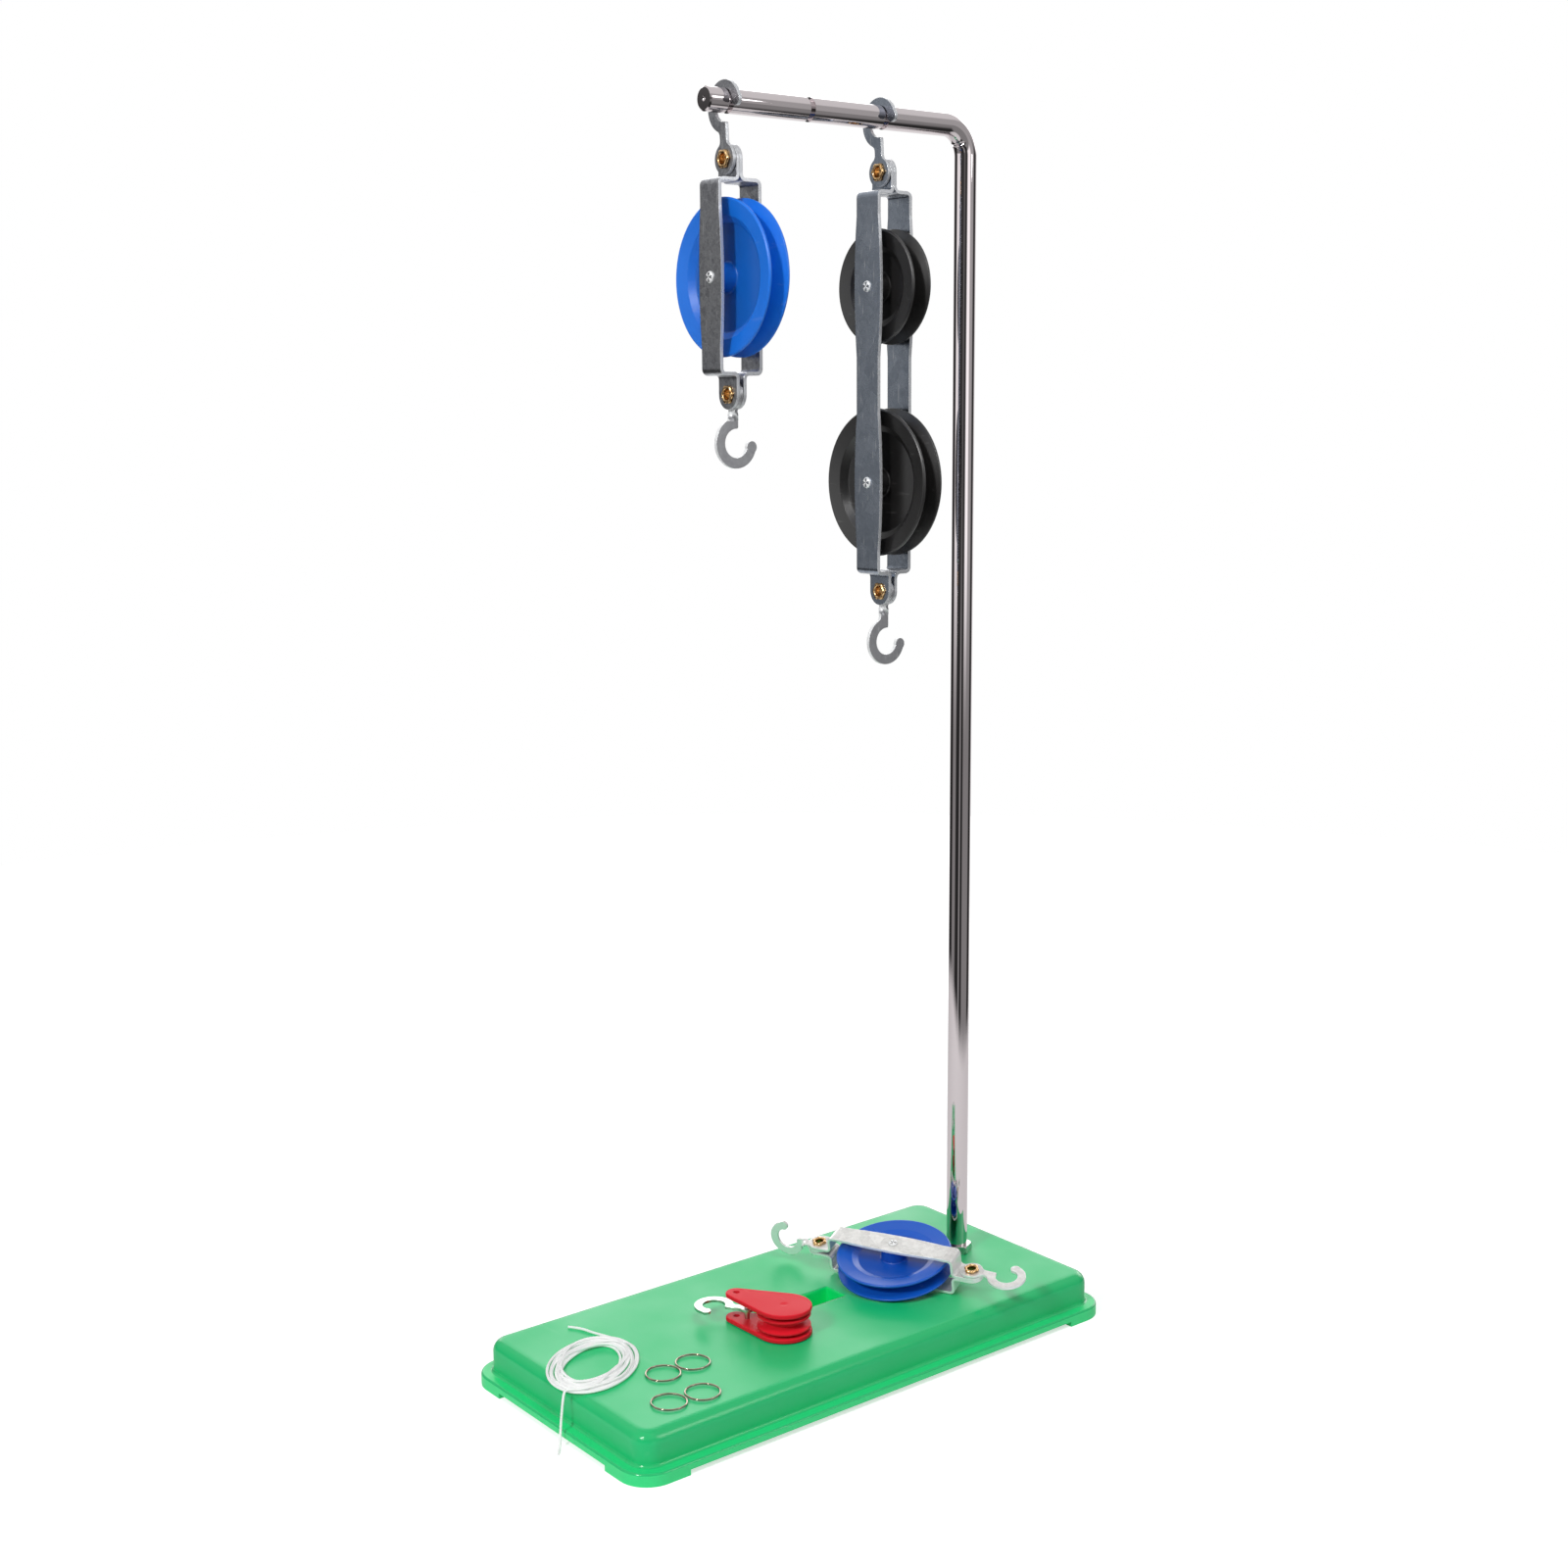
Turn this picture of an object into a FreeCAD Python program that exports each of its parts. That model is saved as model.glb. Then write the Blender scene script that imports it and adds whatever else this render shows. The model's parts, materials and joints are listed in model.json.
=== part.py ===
import FreeCAD, Part
import math
import os

# Pulley demonstrator for the classroom. A bent steel rod stands on a moulded base. A single
# pulley block and a tandem block hang by plate hooks from grooves turned in the rod's arm. A
# small single block, a plastic block, four wire rings and a string lie on the base.
#
# Millimetres, +Z up. The origin is the middle of the base at the level its feet stand on. X runs
# along the base's long side, with the rod at +X and its arm running back towards -X.

Vector = FreeCAD.Vector
ORIGIN = Vector(0, 0, 0)
X_AXIS = Vector(1, 0, 0)
Y_AXIS = Vector(0, 1, 0)
Z_AXIS = Vector(0, 0, 1)

# ------------------------------------------------------------------ driving dimensions: clearances
running_clearance = 0.10        # radial, a turning piece on its pin
fixed_clearance = 0.03          # radial, a pin or rivet that is pressed or peened into its hole
side_clearance = 0.25           # axial, between pieces that turn against each other
resting_gap = 0.30              # a loose piece above what it lies on or hangs from

# ------------------------------------------------------------------ driving dimensions: the base
base_length = 270.0
base_width = 132.0
base_height = 20.0              # feet to top
base_corner = 14.0              # plan radius of the flange's corners
base_top_round = 5.0            # round along the top edge
base_wall = 2.5
base_top_thickness = 3.0
flange_overhang = 5.5           # flange past the body's walls
flange_thickness = 3.2
flange_round = 1.1
flange_root_round = 1.6         # hollow round where the wall meets the flange
foot_drop = 2.4                 # how far the corner feet reach below the flange
foot_reach = 25.0               # how far each foot runs along both sides from its corner
rib_thickness = 1.6
rib_depth = 3.8                 # how far the ribs hang below the top
rib_columns = 5                 # bays along the base
rib_rows = 3                    # bays across the base
slot_length = 44.0
slot_width = 13.0
slot_collar_wall = 2.2
slot_collar_bottom = 3.6

# ------------------------------------------------------------------ driving dimensions: the rod
rod_diameter = 10.0
rod_x = 98.5
arm_height = 545.7              # axis of the arm above the table
arm_end_x = -46.0
rod_bend_radius = 17.0          # of the rod's centreline
arm_end_chamfer = 0.6
centre_drill_diameter = 2.2
groove_depth = 1.5
groove_width = 2.6
stud_diameter = 8.0             # threaded foot of the rod, its thread left plain
stud_bottom = 1.2
nut_across_flats = 13.0
foot_nut_height = 4.0           # thin nut on top of the base
lock_nut_height = 6.0           # nut under the base
washer_diameter = 17.0
washer_thickness = 1.6
boss_diameter = 22.0            # boss under the base's top, round the stud
boss_bottom = 9.6

# ------------------------------------------------------------------ driving dimensions: the blocks
single_x = -35.4                # plane of the single block's upper hook
spare_groove_x = 7.0
tandem_x = 48.0                 # plane of the tandem block's upper hook


class Fittings:
    """The plate hooks, eyelets and pins of one size of block."""

    def __init__(self, plate, tab_width, ring_outer, ring_section, hook_reach, neck_width,
                 neck_shift, eyelet_flange, eyelet_barrel, eyelet_bore, pin, rivet_head):
        self.plate = plate                      # thickness of the hooks and strips
        self.tab_width = tab_width              # width of the strips' eyelet tabs
        self.ring_outer = ring_outer            # outer radius of a hook's ring
        self.ring_section = ring_section        # width of the ring's metal
        self.ring_inner = ring_outer - ring_section
        self.hook_reach = hook_reach            # along the neck, eye to ring centre
        self.neck_width = neck_width
        self.neck_shift = neck_shift            # ring centre to the neck's axis
        self.eyelet_flange = eyelet_flange      # radii of the eyelet
        self.eyelet_barrel = eyelet_barrel
        self.eyelet_bore = eyelet_bore
        self.pin = pin                          # radius of the sheave's axle
        self.tenon = pin - 0.5                  # radius of the axle's ends in the strips
        self.rivet_head = rivet_head            # radius of the peened heads


large_fittings = Fittings(plate=1.5, tab_width=12.3, ring_outer=10.4, ring_section=4.4,
                          hook_reach=20.5, neck_width=4.2, neck_shift=1.2, eyelet_flange=3.8,
                          eyelet_barrel=2.75, eyelet_bore=2.2, pin=2.0, rivet_head=2.4)
small_fittings = Fittings(plate=1.2, tab_width=10.4, ring_outer=8.8, ring_section=3.7,
                          hook_reach=17.0, neck_width=3.6, neck_shift=1.0, eyelet_flange=3.3,
                          eyelet_barrel=2.4, eyelet_bore=1.9, pin=1.8, rivet_head=2.2)
hook_tip_angle = -12.0          # where the ring's open end stops, from the ring's centre line
hook_tip_swell = 0.35           # how much the round tip stands out past the ring's edges
hook_lip_round = 0.8
hook_root_round = 2.6
twist_start = 1.0               # past the tab's end, where a twisted neck starts to turn
twist_length = 3.6


class BlockSizes:
    """One metal block: two strips joined at an eyelet above and below, with its sheaves between."""

    def __init__(self, fittings, sheaves, sheaves_apart, sheave_width, rim_to_strip,
                 rim_to_shoulder, tab_reach, end_width, axle_width, swell_share, lower_reach):
        self.fittings = fittings
        self.sheaves = sheaves                          # their radii, from the top
        self.sheave_width = sheave_width
        self.end_width = end_width
        self.axle_width = axle_width                    # width of a strip at an axle
        self.lower_reach = lower_reach                  # eye to ring centre of the lower hook
        axle_high = (sum(sheaves) + sheaves_apart) / 2 if len(sheaves) > 1 else 0.0
        self.axles = [axle_high, -axle_high][:len(sheaves)]     # heights from the middle
        widest = max(sheaves)
        self.swell_half = widest * swell_share          # half the length that is wider there
        # to the outer faces of the shoulders, to the eyelets, and to the strips' two faces
        self.shoulder_half = axle_high + widest + rim_to_shoulder + fittings.plate
        self.eyelet_half = self.shoulder_half + tab_reach
        self.inner_half = sheave_width / 2 + rim_to_strip
        self.outer_half = self.inner_half + fittings.plate


single_block = BlockSizes(large_fittings, sheaves=[32.0], sheaves_apart=0.0, sheave_width=10.8,
                          rim_to_strip=4.05, rim_to_shoulder=5.9, tab_reach=7.6, end_width=12.6,
                          axle_width=15.0, swell_share=0.875, lower_reach=20.0)
tandem_block = BlockSizes(large_fittings, sheaves=[24.6, 32.2], sheaves_apart=27.2,
                          sheave_width=10.8, rim_to_strip=2.85, rim_to_shoulder=6.55,
                          tab_reach=7.75, end_width=14.0, axle_width=17.0, swell_share=0.93,
                          lower_reach=22.5)
small_block = BlockSizes(small_fittings, sheaves=[27.0], sheaves_apart=0.0, sheave_width=8.8,
                         rim_to_strip=3.5, rim_to_shoulder=3.6, tab_reach=7.2, end_width=10.6,
                         axle_width=12.6, swell_share=0.85, lower_reach=17.0)
strip_bend = 1.3                # inside radius of the strips' bends

# sheaves, in shares of nothing: each size below holds for every sheave
sheave_rim = 1.2                # thickness of the rim's edge
sheave_groove_depth = 8.5
sheave_bevel = 7.2              # radial width of the sloping band inside the rim
sheave_bevel_fall = 1.0         # how much lower the band's inner edge is
sheave_step = 3.0               # radial width of the step down to the web
sheave_web = 3.6
hub_diameter = 11.6

# ------------------------------------------------------------------ driving dimensions: on the base
small_block_place = (50.4, -8.8)
small_block_heading = -65.8     # degrees, of its long axis

plastic_place = (-25.0, -20.0)  # the sheave's axis
plastic_heading = 109.0         # degrees, from the sheave towards the hook's pin
plastic_hook_turn = 16.0        # degrees, the hook from the block's own axis
plastic_big_round = 12.5        # radii of the cheek's two ends
plastic_small_round = 4.8
plastic_end_distance = 25.2     # between the centres of the two ends
plastic_cheek = 2.0
plastic_sheave_width = 6.6
plastic_sheave_radius = 12.0
plastic_inside = 9.2            # between the cheeks
plastic_axle_radius = 2.2
plastic_axle_seat = 1.3         # depth of the axle's blind holes in the cheeks
plastic_dimple_radius = 2.1     # shallow hollow in each cheek's outside, over the axle
plastic_dimple_depth = 0.3
plastic_eye_radius = 1.5        # of the open hole at the cheeks' small end
plastic_hook_pin = 19.5         # from the sheave's axis to the hook's pin
plastic_hook_pin_radius = 1.2
plastic_hook_pin_seat = 1.2     # depth of the pin's blind holes in the cheeks
plastic_groove_depth = 4.0
plastic_rim = 1.0

ring_places = [(-90.3, -19.5), (-74.2, -18.9), (-103.7, -42.5), (-87.6, -44.0)]
ring_diameter = 14.8            # of the wire's centreline
ring_wire = 0.8

string_diameter = 1.2
coil_place = (-109.0, 6.5)
coil_heading = 51.3             # degrees, of the oval's long axis
coil_outer = (29.5, 20.5)       # half lengths of the oval's outline
coil_inner = (17.5, 11.0)
coil_height = 3.0
tail_route = [(-132.6, -11.2, 22.2), (-134.6, -12.6, 19.8), (-136.0, -13.6, 14.0),
              (-137.0, -14.4, 8.0), (-138.4, -15.4, 2.4), (-140.8, -16.9, 0.7),
              (-144.2, -18.8, 0.65)]
end_route = [(-91.2, 33.0, 20.7), (-91.9, 37.4, 20.7), (-93.6, 41.4, 20.7), (-96.2, 45.0, 20.7)]

# ------------------------------------------------------------------ sizes that follow from those
body_length = base_length - 2 * flange_overhang
body_width = base_width - 2 * flange_overhang
body_corner = base_corner - flange_overhang
flange_top = foot_drop + flange_thickness
cavity_top = base_height - base_top_thickness
rib_bottom = cavity_top - rib_depth
rod_radius = rod_diameter / 2
groove_radius = rod_radius - groove_depth
stud_radius = stud_diameter / 2
loose_level = base_height + resting_gap
coil_top = base_height + coil_height


# ------------------------------------------------------------------ helpers
def rounded_outline(corners):
    """A closed wire in the XY plane through (x, y, radius) corners, each rounded by its radius."""
    points = [Vector(x, y, 0) for x, y, _ in corners]
    count = len(points)
    ends = []
    edges = []
    for i, (_, _, radius) in enumerate(corners):
        here = points[i]
        back = (points[i - 1] - here).normalize()
        ahead = (points[(i + 1) % count] - here).normalize()
        if radius <= 0:
            ends.append((here, here))
            continue
        half = back.getAngle(ahead) / 2
        cut = radius / math.tan(half)
        bisector = (back + ahead).normalize()
        middle = here + bisector * (radius / math.sin(half) - radius)
        start = here + back * cut
        finish = here + ahead * cut
        edges.append(Part.Arc(start, middle, finish).toShape())
        ends.append((start, finish))
    for i in range(count):
        leave = ends[i][1]
        reach = ends[(i + 1) % count][0]
        if leave.distanceToPoint(reach) > 1e-6:
            edges.append(Part.LineSegment(leave, reach).toShape())
    return Part.Wire(Part.__sortEdges__(edges))


def turned(corners):
    """A solid turned about the X axis from (along X, radius, rounding) corners."""
    face = Part.Face(rounded_outline(corners))
    return face.revolve(ORIGIN, X_AXIS, 360)


def mirrored_turned(corners):
    """The same from the corners with X above 0 only, mirrored to the other side."""
    other = [(-x, radius, rounding) for x, radius, rounding in reversed(corners)]
    return turned(corners + other)


def slab(length, width, corner, low, high):
    """A block about the Z axis with rounded upright corners."""
    x = length / 2
    y = width / 2
    outline = rounded_outline([(x, -y, corner), (x, y, corner), (-x, y, corner), (-x, -y, corner)])
    return Part.Face(outline).extrude(Z_AXIS * (high - low)).translate(Z_AXIS * low)


def box(low, high):
    """A box between two corners."""
    size = [high[i] - low[i] for i in range(3)]
    return Part.makeBox(*size, Vector(*low))


def bar(radius, start, finish):
    """A round bar between two points."""
    run = finish - start
    return Part.makeCylinder(radius, run.Length, start, run)


def tapped_disc(diameter, height, hole_radius):
    """A flat disc with a hole, standing on Z = 0."""
    disc = Part.makeCylinder(diameter / 2, height)
    return disc.cut(Part.makeCylinder(hole_radius, height))


def hex_nut(height, hole_radius):
    """A hexagonal nut standing on Z = 0, its corners turned off at both ends."""
    corner = nut_across_flats / math.sqrt(3)
    points = [Vector(corner * math.cos(math.radians(60 * i + 25)),
                     corner * math.sin(math.radians(60 * i + 25)), 0) for i in range(7)]
    blank = Part.Face(Part.makePolygon(points)).extrude(Z_AXIS * height)
    fall = 0.7
    cone = Part.makeCone(corner - fall, corner + height, height + fall)
    blank = blank.common(cone)
    blank = blank.common(cone.mirror(Vector(0, 0, height / 2), Z_AXIS))
    return blank.cut(Part.makeCylinder(hole_radius, height))


def rounded_tube(route, radius, name):
    """A tube along straight runs joined by tangent arcs, each as large as its two runs allow."""
    points = [Vector(*p) for p in route]
    edges = []
    leave = points[0]
    for i in range(1, len(points) - 1):
        back = points[i - 1] - points[i]
        ahead = points[i + 1] - points[i]
        run = min(back.Length, ahead.Length)
        back.normalize()
        ahead.normalize()
        half = back.getAngle(ahead) / 2
        cut = 0.45 * run
        bend = cut * math.tan(half)
        print(name, "bend radius", round(bend, 1))
        middle = points[i] + (back + ahead).normalize() * (bend / math.sin(half) - bend)
        edges.append(Part.LineSegment(leave, points[i] + back * cut).toShape())
        leave = points[i] + ahead * cut
        edges.append(Part.Arc(points[i] + back * cut, middle, leave).toShape())
    edges.append(Part.LineSegment(leave, points[-1]).toShape())
    path = Part.Wire(edges)
    section = Part.Wire(Part.makeCircle(radius, points[0], points[1] - points[0]))
    tube = path.makePipeShell([section], True, False)
    print(name, "length", round(path.Length, 1), "volume share",
          round(tube.Volume / (math.pi * radius ** 2 * path.Length), 4))
    return tube


# ------------------------------------------------------------------ the base and the rod
def base_ribs():
    """Thin ribs under the top, in a grid between the walls."""
    inner_x = body_length / 2 - base_wall
    inner_y = body_width / 2 - base_wall
    ribs = []
    for i in range(1, rib_columns):
        x = inner_x * (2 * i / rib_columns - 1)
        ribs.append(box((x - rib_thickness / 2, -inner_y, rib_bottom),
                        (x + rib_thickness / 2, inner_y, cavity_top)))
    for i in range(1, rib_rows):
        y = inner_y * (2 * i / rib_rows - 1)
        ribs.append(box((-inner_x, y - rib_thickness / 2, rib_bottom),
                        (inner_x, y + rib_thickness / 2, cavity_top)))
    return ribs


def base_feet():
    """The flange's corners, carried down to the table."""
    rim = slab(base_length, base_width, base_corner, 0, foot_drop)
    rim = rim.cut(slab(body_length - 2 * base_wall, body_width - 2 * base_wall,
                       body_corner - base_wall, 0, foot_drop))
    x = base_length / 2
    y = base_width / 2
    corners = [box((sx * (x - foot_reach / 2) - foot_reach / 2,
                    sy * (y - foot_reach / 2) - foot_reach / 2, 0),
                   (sx * (x - foot_reach / 2) + foot_reach / 2,
                    sy * (y - foot_reach / 2) + foot_reach / 2, foot_drop))
               for sx in (-1, 1) for sy in (-1, 1)]
    return [rim.common(corner) for corner in corners]


def edges_at(shape, height, outside):
    """The edges that lie level at a height and, with outside, beyond those half sizes."""
    found = []
    for edge in shape.Edges:
        bounds = edge.BoundBox
        level = abs(bounds.ZMin - height) < 1e-4 and abs(bounds.ZMax - height) < 1e-4
        far_x = max(abs(bounds.XMin), abs(bounds.XMax)) > outside[0]
        far_y = max(abs(bounds.YMin), abs(bounds.YMax)) > outside[1]
        if level and (far_x or far_y):
            found.append(edge)
    return found


def base_moulding():
    """The hollow base: body, flange, feet, ribs, the slot's collar and the rod's boss."""
    body = slab(body_length, body_width, body_corner, foot_drop, base_height)
    body = body.makeFillet(base_top_round, edges_at(body, base_height, (0, 0)))
    flange = slab(base_length, base_width, base_corner, foot_drop, flange_top)
    flange = flange.makeFillet(flange_round, edges_at(flange, flange_top, (0, 0)))
    shell = body.fuse(flange).removeSplitter()
    near_body = (body_length / 2 - 0.1, body_width / 2 - 0.1)
    roots = [edge for edge in edges_at(shell, flange_top, near_body)
             if edge.BoundBox.XMax < body_length / 2 + 0.1
             and edge.BoundBox.XMin > -body_length / 2 - 0.1
             and edge.BoundBox.YMax < body_width / 2 + 0.1
             and edge.BoundBox.YMin > -body_width / 2 - 0.1]
    shell = shell.makeFillet(flange_root_round, roots)
    cavity = slab(body_length - 2 * base_wall, body_width - 2 * base_wall,
                  body_corner - base_wall, 0, cavity_top)
    shell = shell.cut(cavity)
    collar = slab(slot_length + 2 * slot_collar_wall, slot_width + 2 * slot_collar_wall,
                  slot_collar_wall, slot_collar_bottom, cavity_top)
    boss_place = Vector(rod_x, 0, boss_bottom)
    boss = Part.makeCylinder(boss_diameter / 2, cavity_top - boss_bottom, boss_place)
    shell = shell.multiFuse(base_ribs() + base_feet() + [collar, boss])
    nut_room = Part.makeCylinder(boss_diameter / 2, boss_bottom, Vector(rod_x, 0, 0))
    stud_hole = Part.makeCylinder(stud_radius + running_clearance, base_height, Vector(rod_x, 0, 0))
    slot = slab(slot_length, slot_width, 0.6, 0, base_height)
    return shell.cut(nut_room.fuse(stud_hole).fuse(slot)).removeSplitter()


def support_rod():
    """The bent rod: threaded foot, column, bend and arm, with three hook grooves."""
    shoulder = base_height + foot_nut_height
    bend_low = arm_height - rod_bend_radius
    bend_in = rod_x - rod_bend_radius
    stud = bar(stud_radius, Vector(rod_x, 0, stud_bottom), Vector(rod_x, 0, shoulder))
    column = bar(rod_radius, Vector(rod_x, 0, shoulder), Vector(rod_x, 0, bend_low))
    arm = bar(rod_radius, Vector(arm_end_x, 0, arm_height), Vector(bend_in, 0, arm_height))
    arm = arm.makeChamfer(arm_end_chamfer, [edge for edge in arm.Edges
                                            if edge.BoundBox.XMax < arm_end_x + 1e-4])
    section = Part.Face(Part.Wire(Part.makeCircle(rod_radius, Vector(rod_x, 0, bend_low), Z_AXIS)))
    bend = section.revolve(Vector(bend_in, 0, bend_low), Vector(0, -1, 0), 90)
    rod = stud.multiFuse([column, bend, arm]).removeSplitter()
    for x in (single_x, spare_groove_x, tandem_x):
        start = Vector(x - groove_width / 2, 0, arm_height)
        collar = Part.makeCylinder(rod_radius + 1, groove_width, start, X_AXIS)
        rod = rod.cut(collar.cut(Part.makeCylinder(groove_radius, groove_width, start, X_AXIS)))
    drill = Part.makeCone(centre_drill_diameter / 2, 0, centre_drill_diameter / 2,
                          Vector(arm_end_x, 0, arm_height), X_AXIS)
    return rod.cut(drill)


def rod_fasteners():
    """The nut on the base, and the washer and nut that hold the rod from below."""
    hole = stud_radius + fixed_clearance
    foot_nut = hex_nut(foot_nut_height, hole)
    foot_nut.translate(Vector(rod_x, 0, base_height))
    washer = tapped_disc(washer_diameter, washer_thickness, hole + 0.2)
    washer.translate(Vector(rod_x, 0, boss_bottom - washer_thickness))
    lock_nut = hex_nut(lock_nut_height, hole)
    lock_nut.translate(Vector(rod_x, 0, boss_bottom - washer_thickness - lock_nut_height))
    return {"rod_foot_nut": foot_nut, "rod_washer": washer, "rod_lock_nut": lock_nut}


# ------------------------------------------------------------------ pieces of a metal block
# A block is built about its own middle: its sheaves turn about X, its long axis is Z, and its
# upper hook is at +Z. The strip on the -X side is the front one.
def hook_outline(fittings, reach):
    """A hook's whole outline with its eye at the origin and its ring below, open at +X."""
    outer = fittings.ring_outer
    inner = fittings.ring_inner
    middle = (outer + inner) / 2
    left = -fittings.neck_shift - fittings.neck_width / 2
    right = left + fittings.neck_width
    root = hook_root_round
    lip = hook_lip_round
    eye = fittings.tab_width / 2

    def on_ring(radius, x, y):
        return Vector(x, y, 0) * (radius / math.hypot(x, y))

    # centres of the rounds, from the ring's centre
    left_root = Vector(left - root, math.sqrt((outer + root) ** 2 - (left - root) ** 2), 0)
    right_lip = Vector(right - lip, math.sqrt((inner + lip) ** 2 - (right - lip) ** 2), 0)
    eye_centre = Vector(-fittings.neck_shift, reach, 0)
    half_neck = fittings.neck_width / 2
    eye_fall = math.sqrt((eye + root) ** 2 - (half_neck + root) ** 2)
    left_eye = eye_centre + Vector(-half_neck - root, -eye_fall, 0)
    right_eye = eye_centre + Vector(half_neck + root, -eye_fall, 0)
    tip = math.radians(hook_tip_angle)
    tip_outer = Vector(outer * math.cos(tip), outer * math.sin(tip), 0)
    tip_inner = Vector(inner * math.cos(tip), inner * math.sin(tip), 0)
    along = Vector(-math.sin(tip), math.cos(tip), 0)
    tip_end = (tip_outer + tip_inner) / 2 + along * (fittings.ring_section / 2)

    def arc(start, through, finish):
        return Part.Arc(start, through, finish).toShape()

    def towards(centre, target, radius):
        return centre + (target - centre).normalize() * radius

    outer_start = on_ring(outer, left_root.x, left_root.y)
    inner_start = on_ring(inner, right_lip.x, right_lip.y)
    left_line = [Vector(left, left_root.y, 0), Vector(left, left_eye.y, 0)]
    right_line = [Vector(right, right_eye.y, 0), Vector(right, right_lip.y, 0)]
    eye_left = towards(left_eye, eye_centre, root)
    eye_right = towards(right_eye, eye_centre, root)
    root_mid = left_root + ((left_line[0] - left_root) + (outer_start - left_root)).normalize() * root
    lip_mid = right_lip + ((right_line[1] - right_lip) + (inner_start - right_lip)).normalize() * lip
    left_mid = left_eye + ((left_line[1] - left_eye) + (eye_left - left_eye)).normalize() * root
    right_mid = right_eye + ((right_line[0] - right_eye) + (eye_right - right_eye)).normalize() * root
    edges = [
        arc(outer_start, root_mid, left_line[0]),
        Part.LineSegment(*left_line).toShape(),
        arc(left_line[1], left_mid, eye_left),
        arc(eye_left, eye_centre + Y_AXIS * eye, eye_right),
        arc(eye_right, right_mid, right_line[0]),
        Part.LineSegment(*right_line).toShape(),
        arc(right_line[1], lip_mid, inner_start),
        arc(inner_start, Vector(-inner, 0, 0) if inner_start.x > -inner else inner_start,
            Vector(0, -inner, 0)),
        arc(Vector(0, -inner, 0), on_ring(inner, 1, -1), tip_inner),
        arc(tip_inner, tip_end, tip_outer),
        arc(tip_outer, on_ring(outer, 1, -1), Vector(0, -outer, 0)),
        arc(Vector(0, -outer, 0), Vector(-outer, 0, 0), outer_start),
    ]
    outline = Part.Wire(Part.__sortEdges__(edges))
    outline.translate(-eye_centre)
    return outline


def flat_hook(fittings, reach):
    """The hook flat in the XY plane, its eye's hole at the origin, ring at -Y, open at +X."""
    half = Z_AXIS * (fittings.plate / 2)
    blank = Part.Face(hook_outline(fittings, reach)).extrude(half * 2).translate(-half)
    angle = math.radians(hook_tip_angle)
    middle = fittings.ring_outer - fittings.ring_section / 2
    ring_centre = Vector(fittings.neck_shift, -reach, 0)
    tip = ring_centre + Vector(middle * math.cos(angle), middle * math.sin(angle), 0)
    bulb = Part.makeCylinder(fittings.ring_section / 2 + hook_tip_swell, fittings.plate, tip - half)
    return blank.fuse(bulb).cut(Part.makeCylinder(fittings.eyelet_barrel + running_clearance,
                                                  fittings.plate, -half))


def plain_hook(fittings, reach, heading):
    """The hook with its plate across X and its ring below, turned about Z by heading from -Y."""
    hook = flat_hook(fittings, reach)
    hook.rotate(ORIGIN, X_AXIS, 90)
    hook.rotate(ORIGIN, Z_AXIS, heading - 90)
    return hook


def twisted_hook(fittings, reach):
    """The same hook with its neck turned a quarter, so that its ring lies across Y, open at +X."""
    flat = plain_hook(fittings, reach, 0)
    size = fittings.ring_outer * 4
    start = fittings.tab_width / 2 + twist_start
    eye_part = flat.common(box((-size, -size, -start), (size, size, size)))
    ring_part = flat.common(box((-size, -size, -size), (size, size, -start - twist_length)))
    ring_part.rotate(ORIGIN, Z_AXIS, 90)
    half_width = fittings.neck_width / 2
    half_plate = fittings.plate / 2
    sections = []
    steps = 6
    for i in range(steps + 1):
        section = Part.makePolygon([Vector(half_plate, -half_width, 0), Vector(half_plate, half_width, 0),
                                    Vector(-half_plate, half_width, 0),
                                    Vector(-half_plate, -half_width, 0),
                                    Vector(half_plate, -half_width, 0)])
        section.rotate(ORIGIN, Z_AXIS, 90 * i / steps)
        section.translate(Z_AXIS * (-start - twist_length * i / steps))
        sections.append(section)
    twist = Part.makeLoft(sections, True, True)
    return eye_part.multiFuse([twist, ring_part]).removeSplitter()


def strip_sheet(block, upper_gap, lower_gap):
    """The strip's edge view: tab, shoulder, bar, shoulder, tab, drawn at +X and extruded over Y."""
    plate = block.fittings.plate
    top = block.eyelet_half + block.fittings.tab_width / 2
    shoulder = block.shoulder_half
    outer = block.outer_half
    inner = block.inner_half
    tight = strip_bend
    wide = strip_bend + plate
    corners = [
        (upper_gap, top, 0),
        (upper_gap + plate, top, 0),
        (upper_gap + plate, shoulder, tight),
        (outer, shoulder, wide),
        (outer, -shoulder, wide),
        (lower_gap + plate, -shoulder, tight),
        (lower_gap + plate, -top, 0),
        (lower_gap, -top, 0),
        (lower_gap, -shoulder + plate, wide),
        (inner, -shoulder + plate, tight),
        (inner, shoulder - plate, tight),
        (upper_gap, shoulder - plate, wide),
    ]
    width = block.axle_width
    sheet = Part.Face(rounded_outline(corners)).extrude(Z_AXIS * width)
    sheet.translate(Z_AXIS * (-width / 2))
    sheet.rotate(ORIGIN, X_AXIS, 90)
    return sheet


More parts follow.
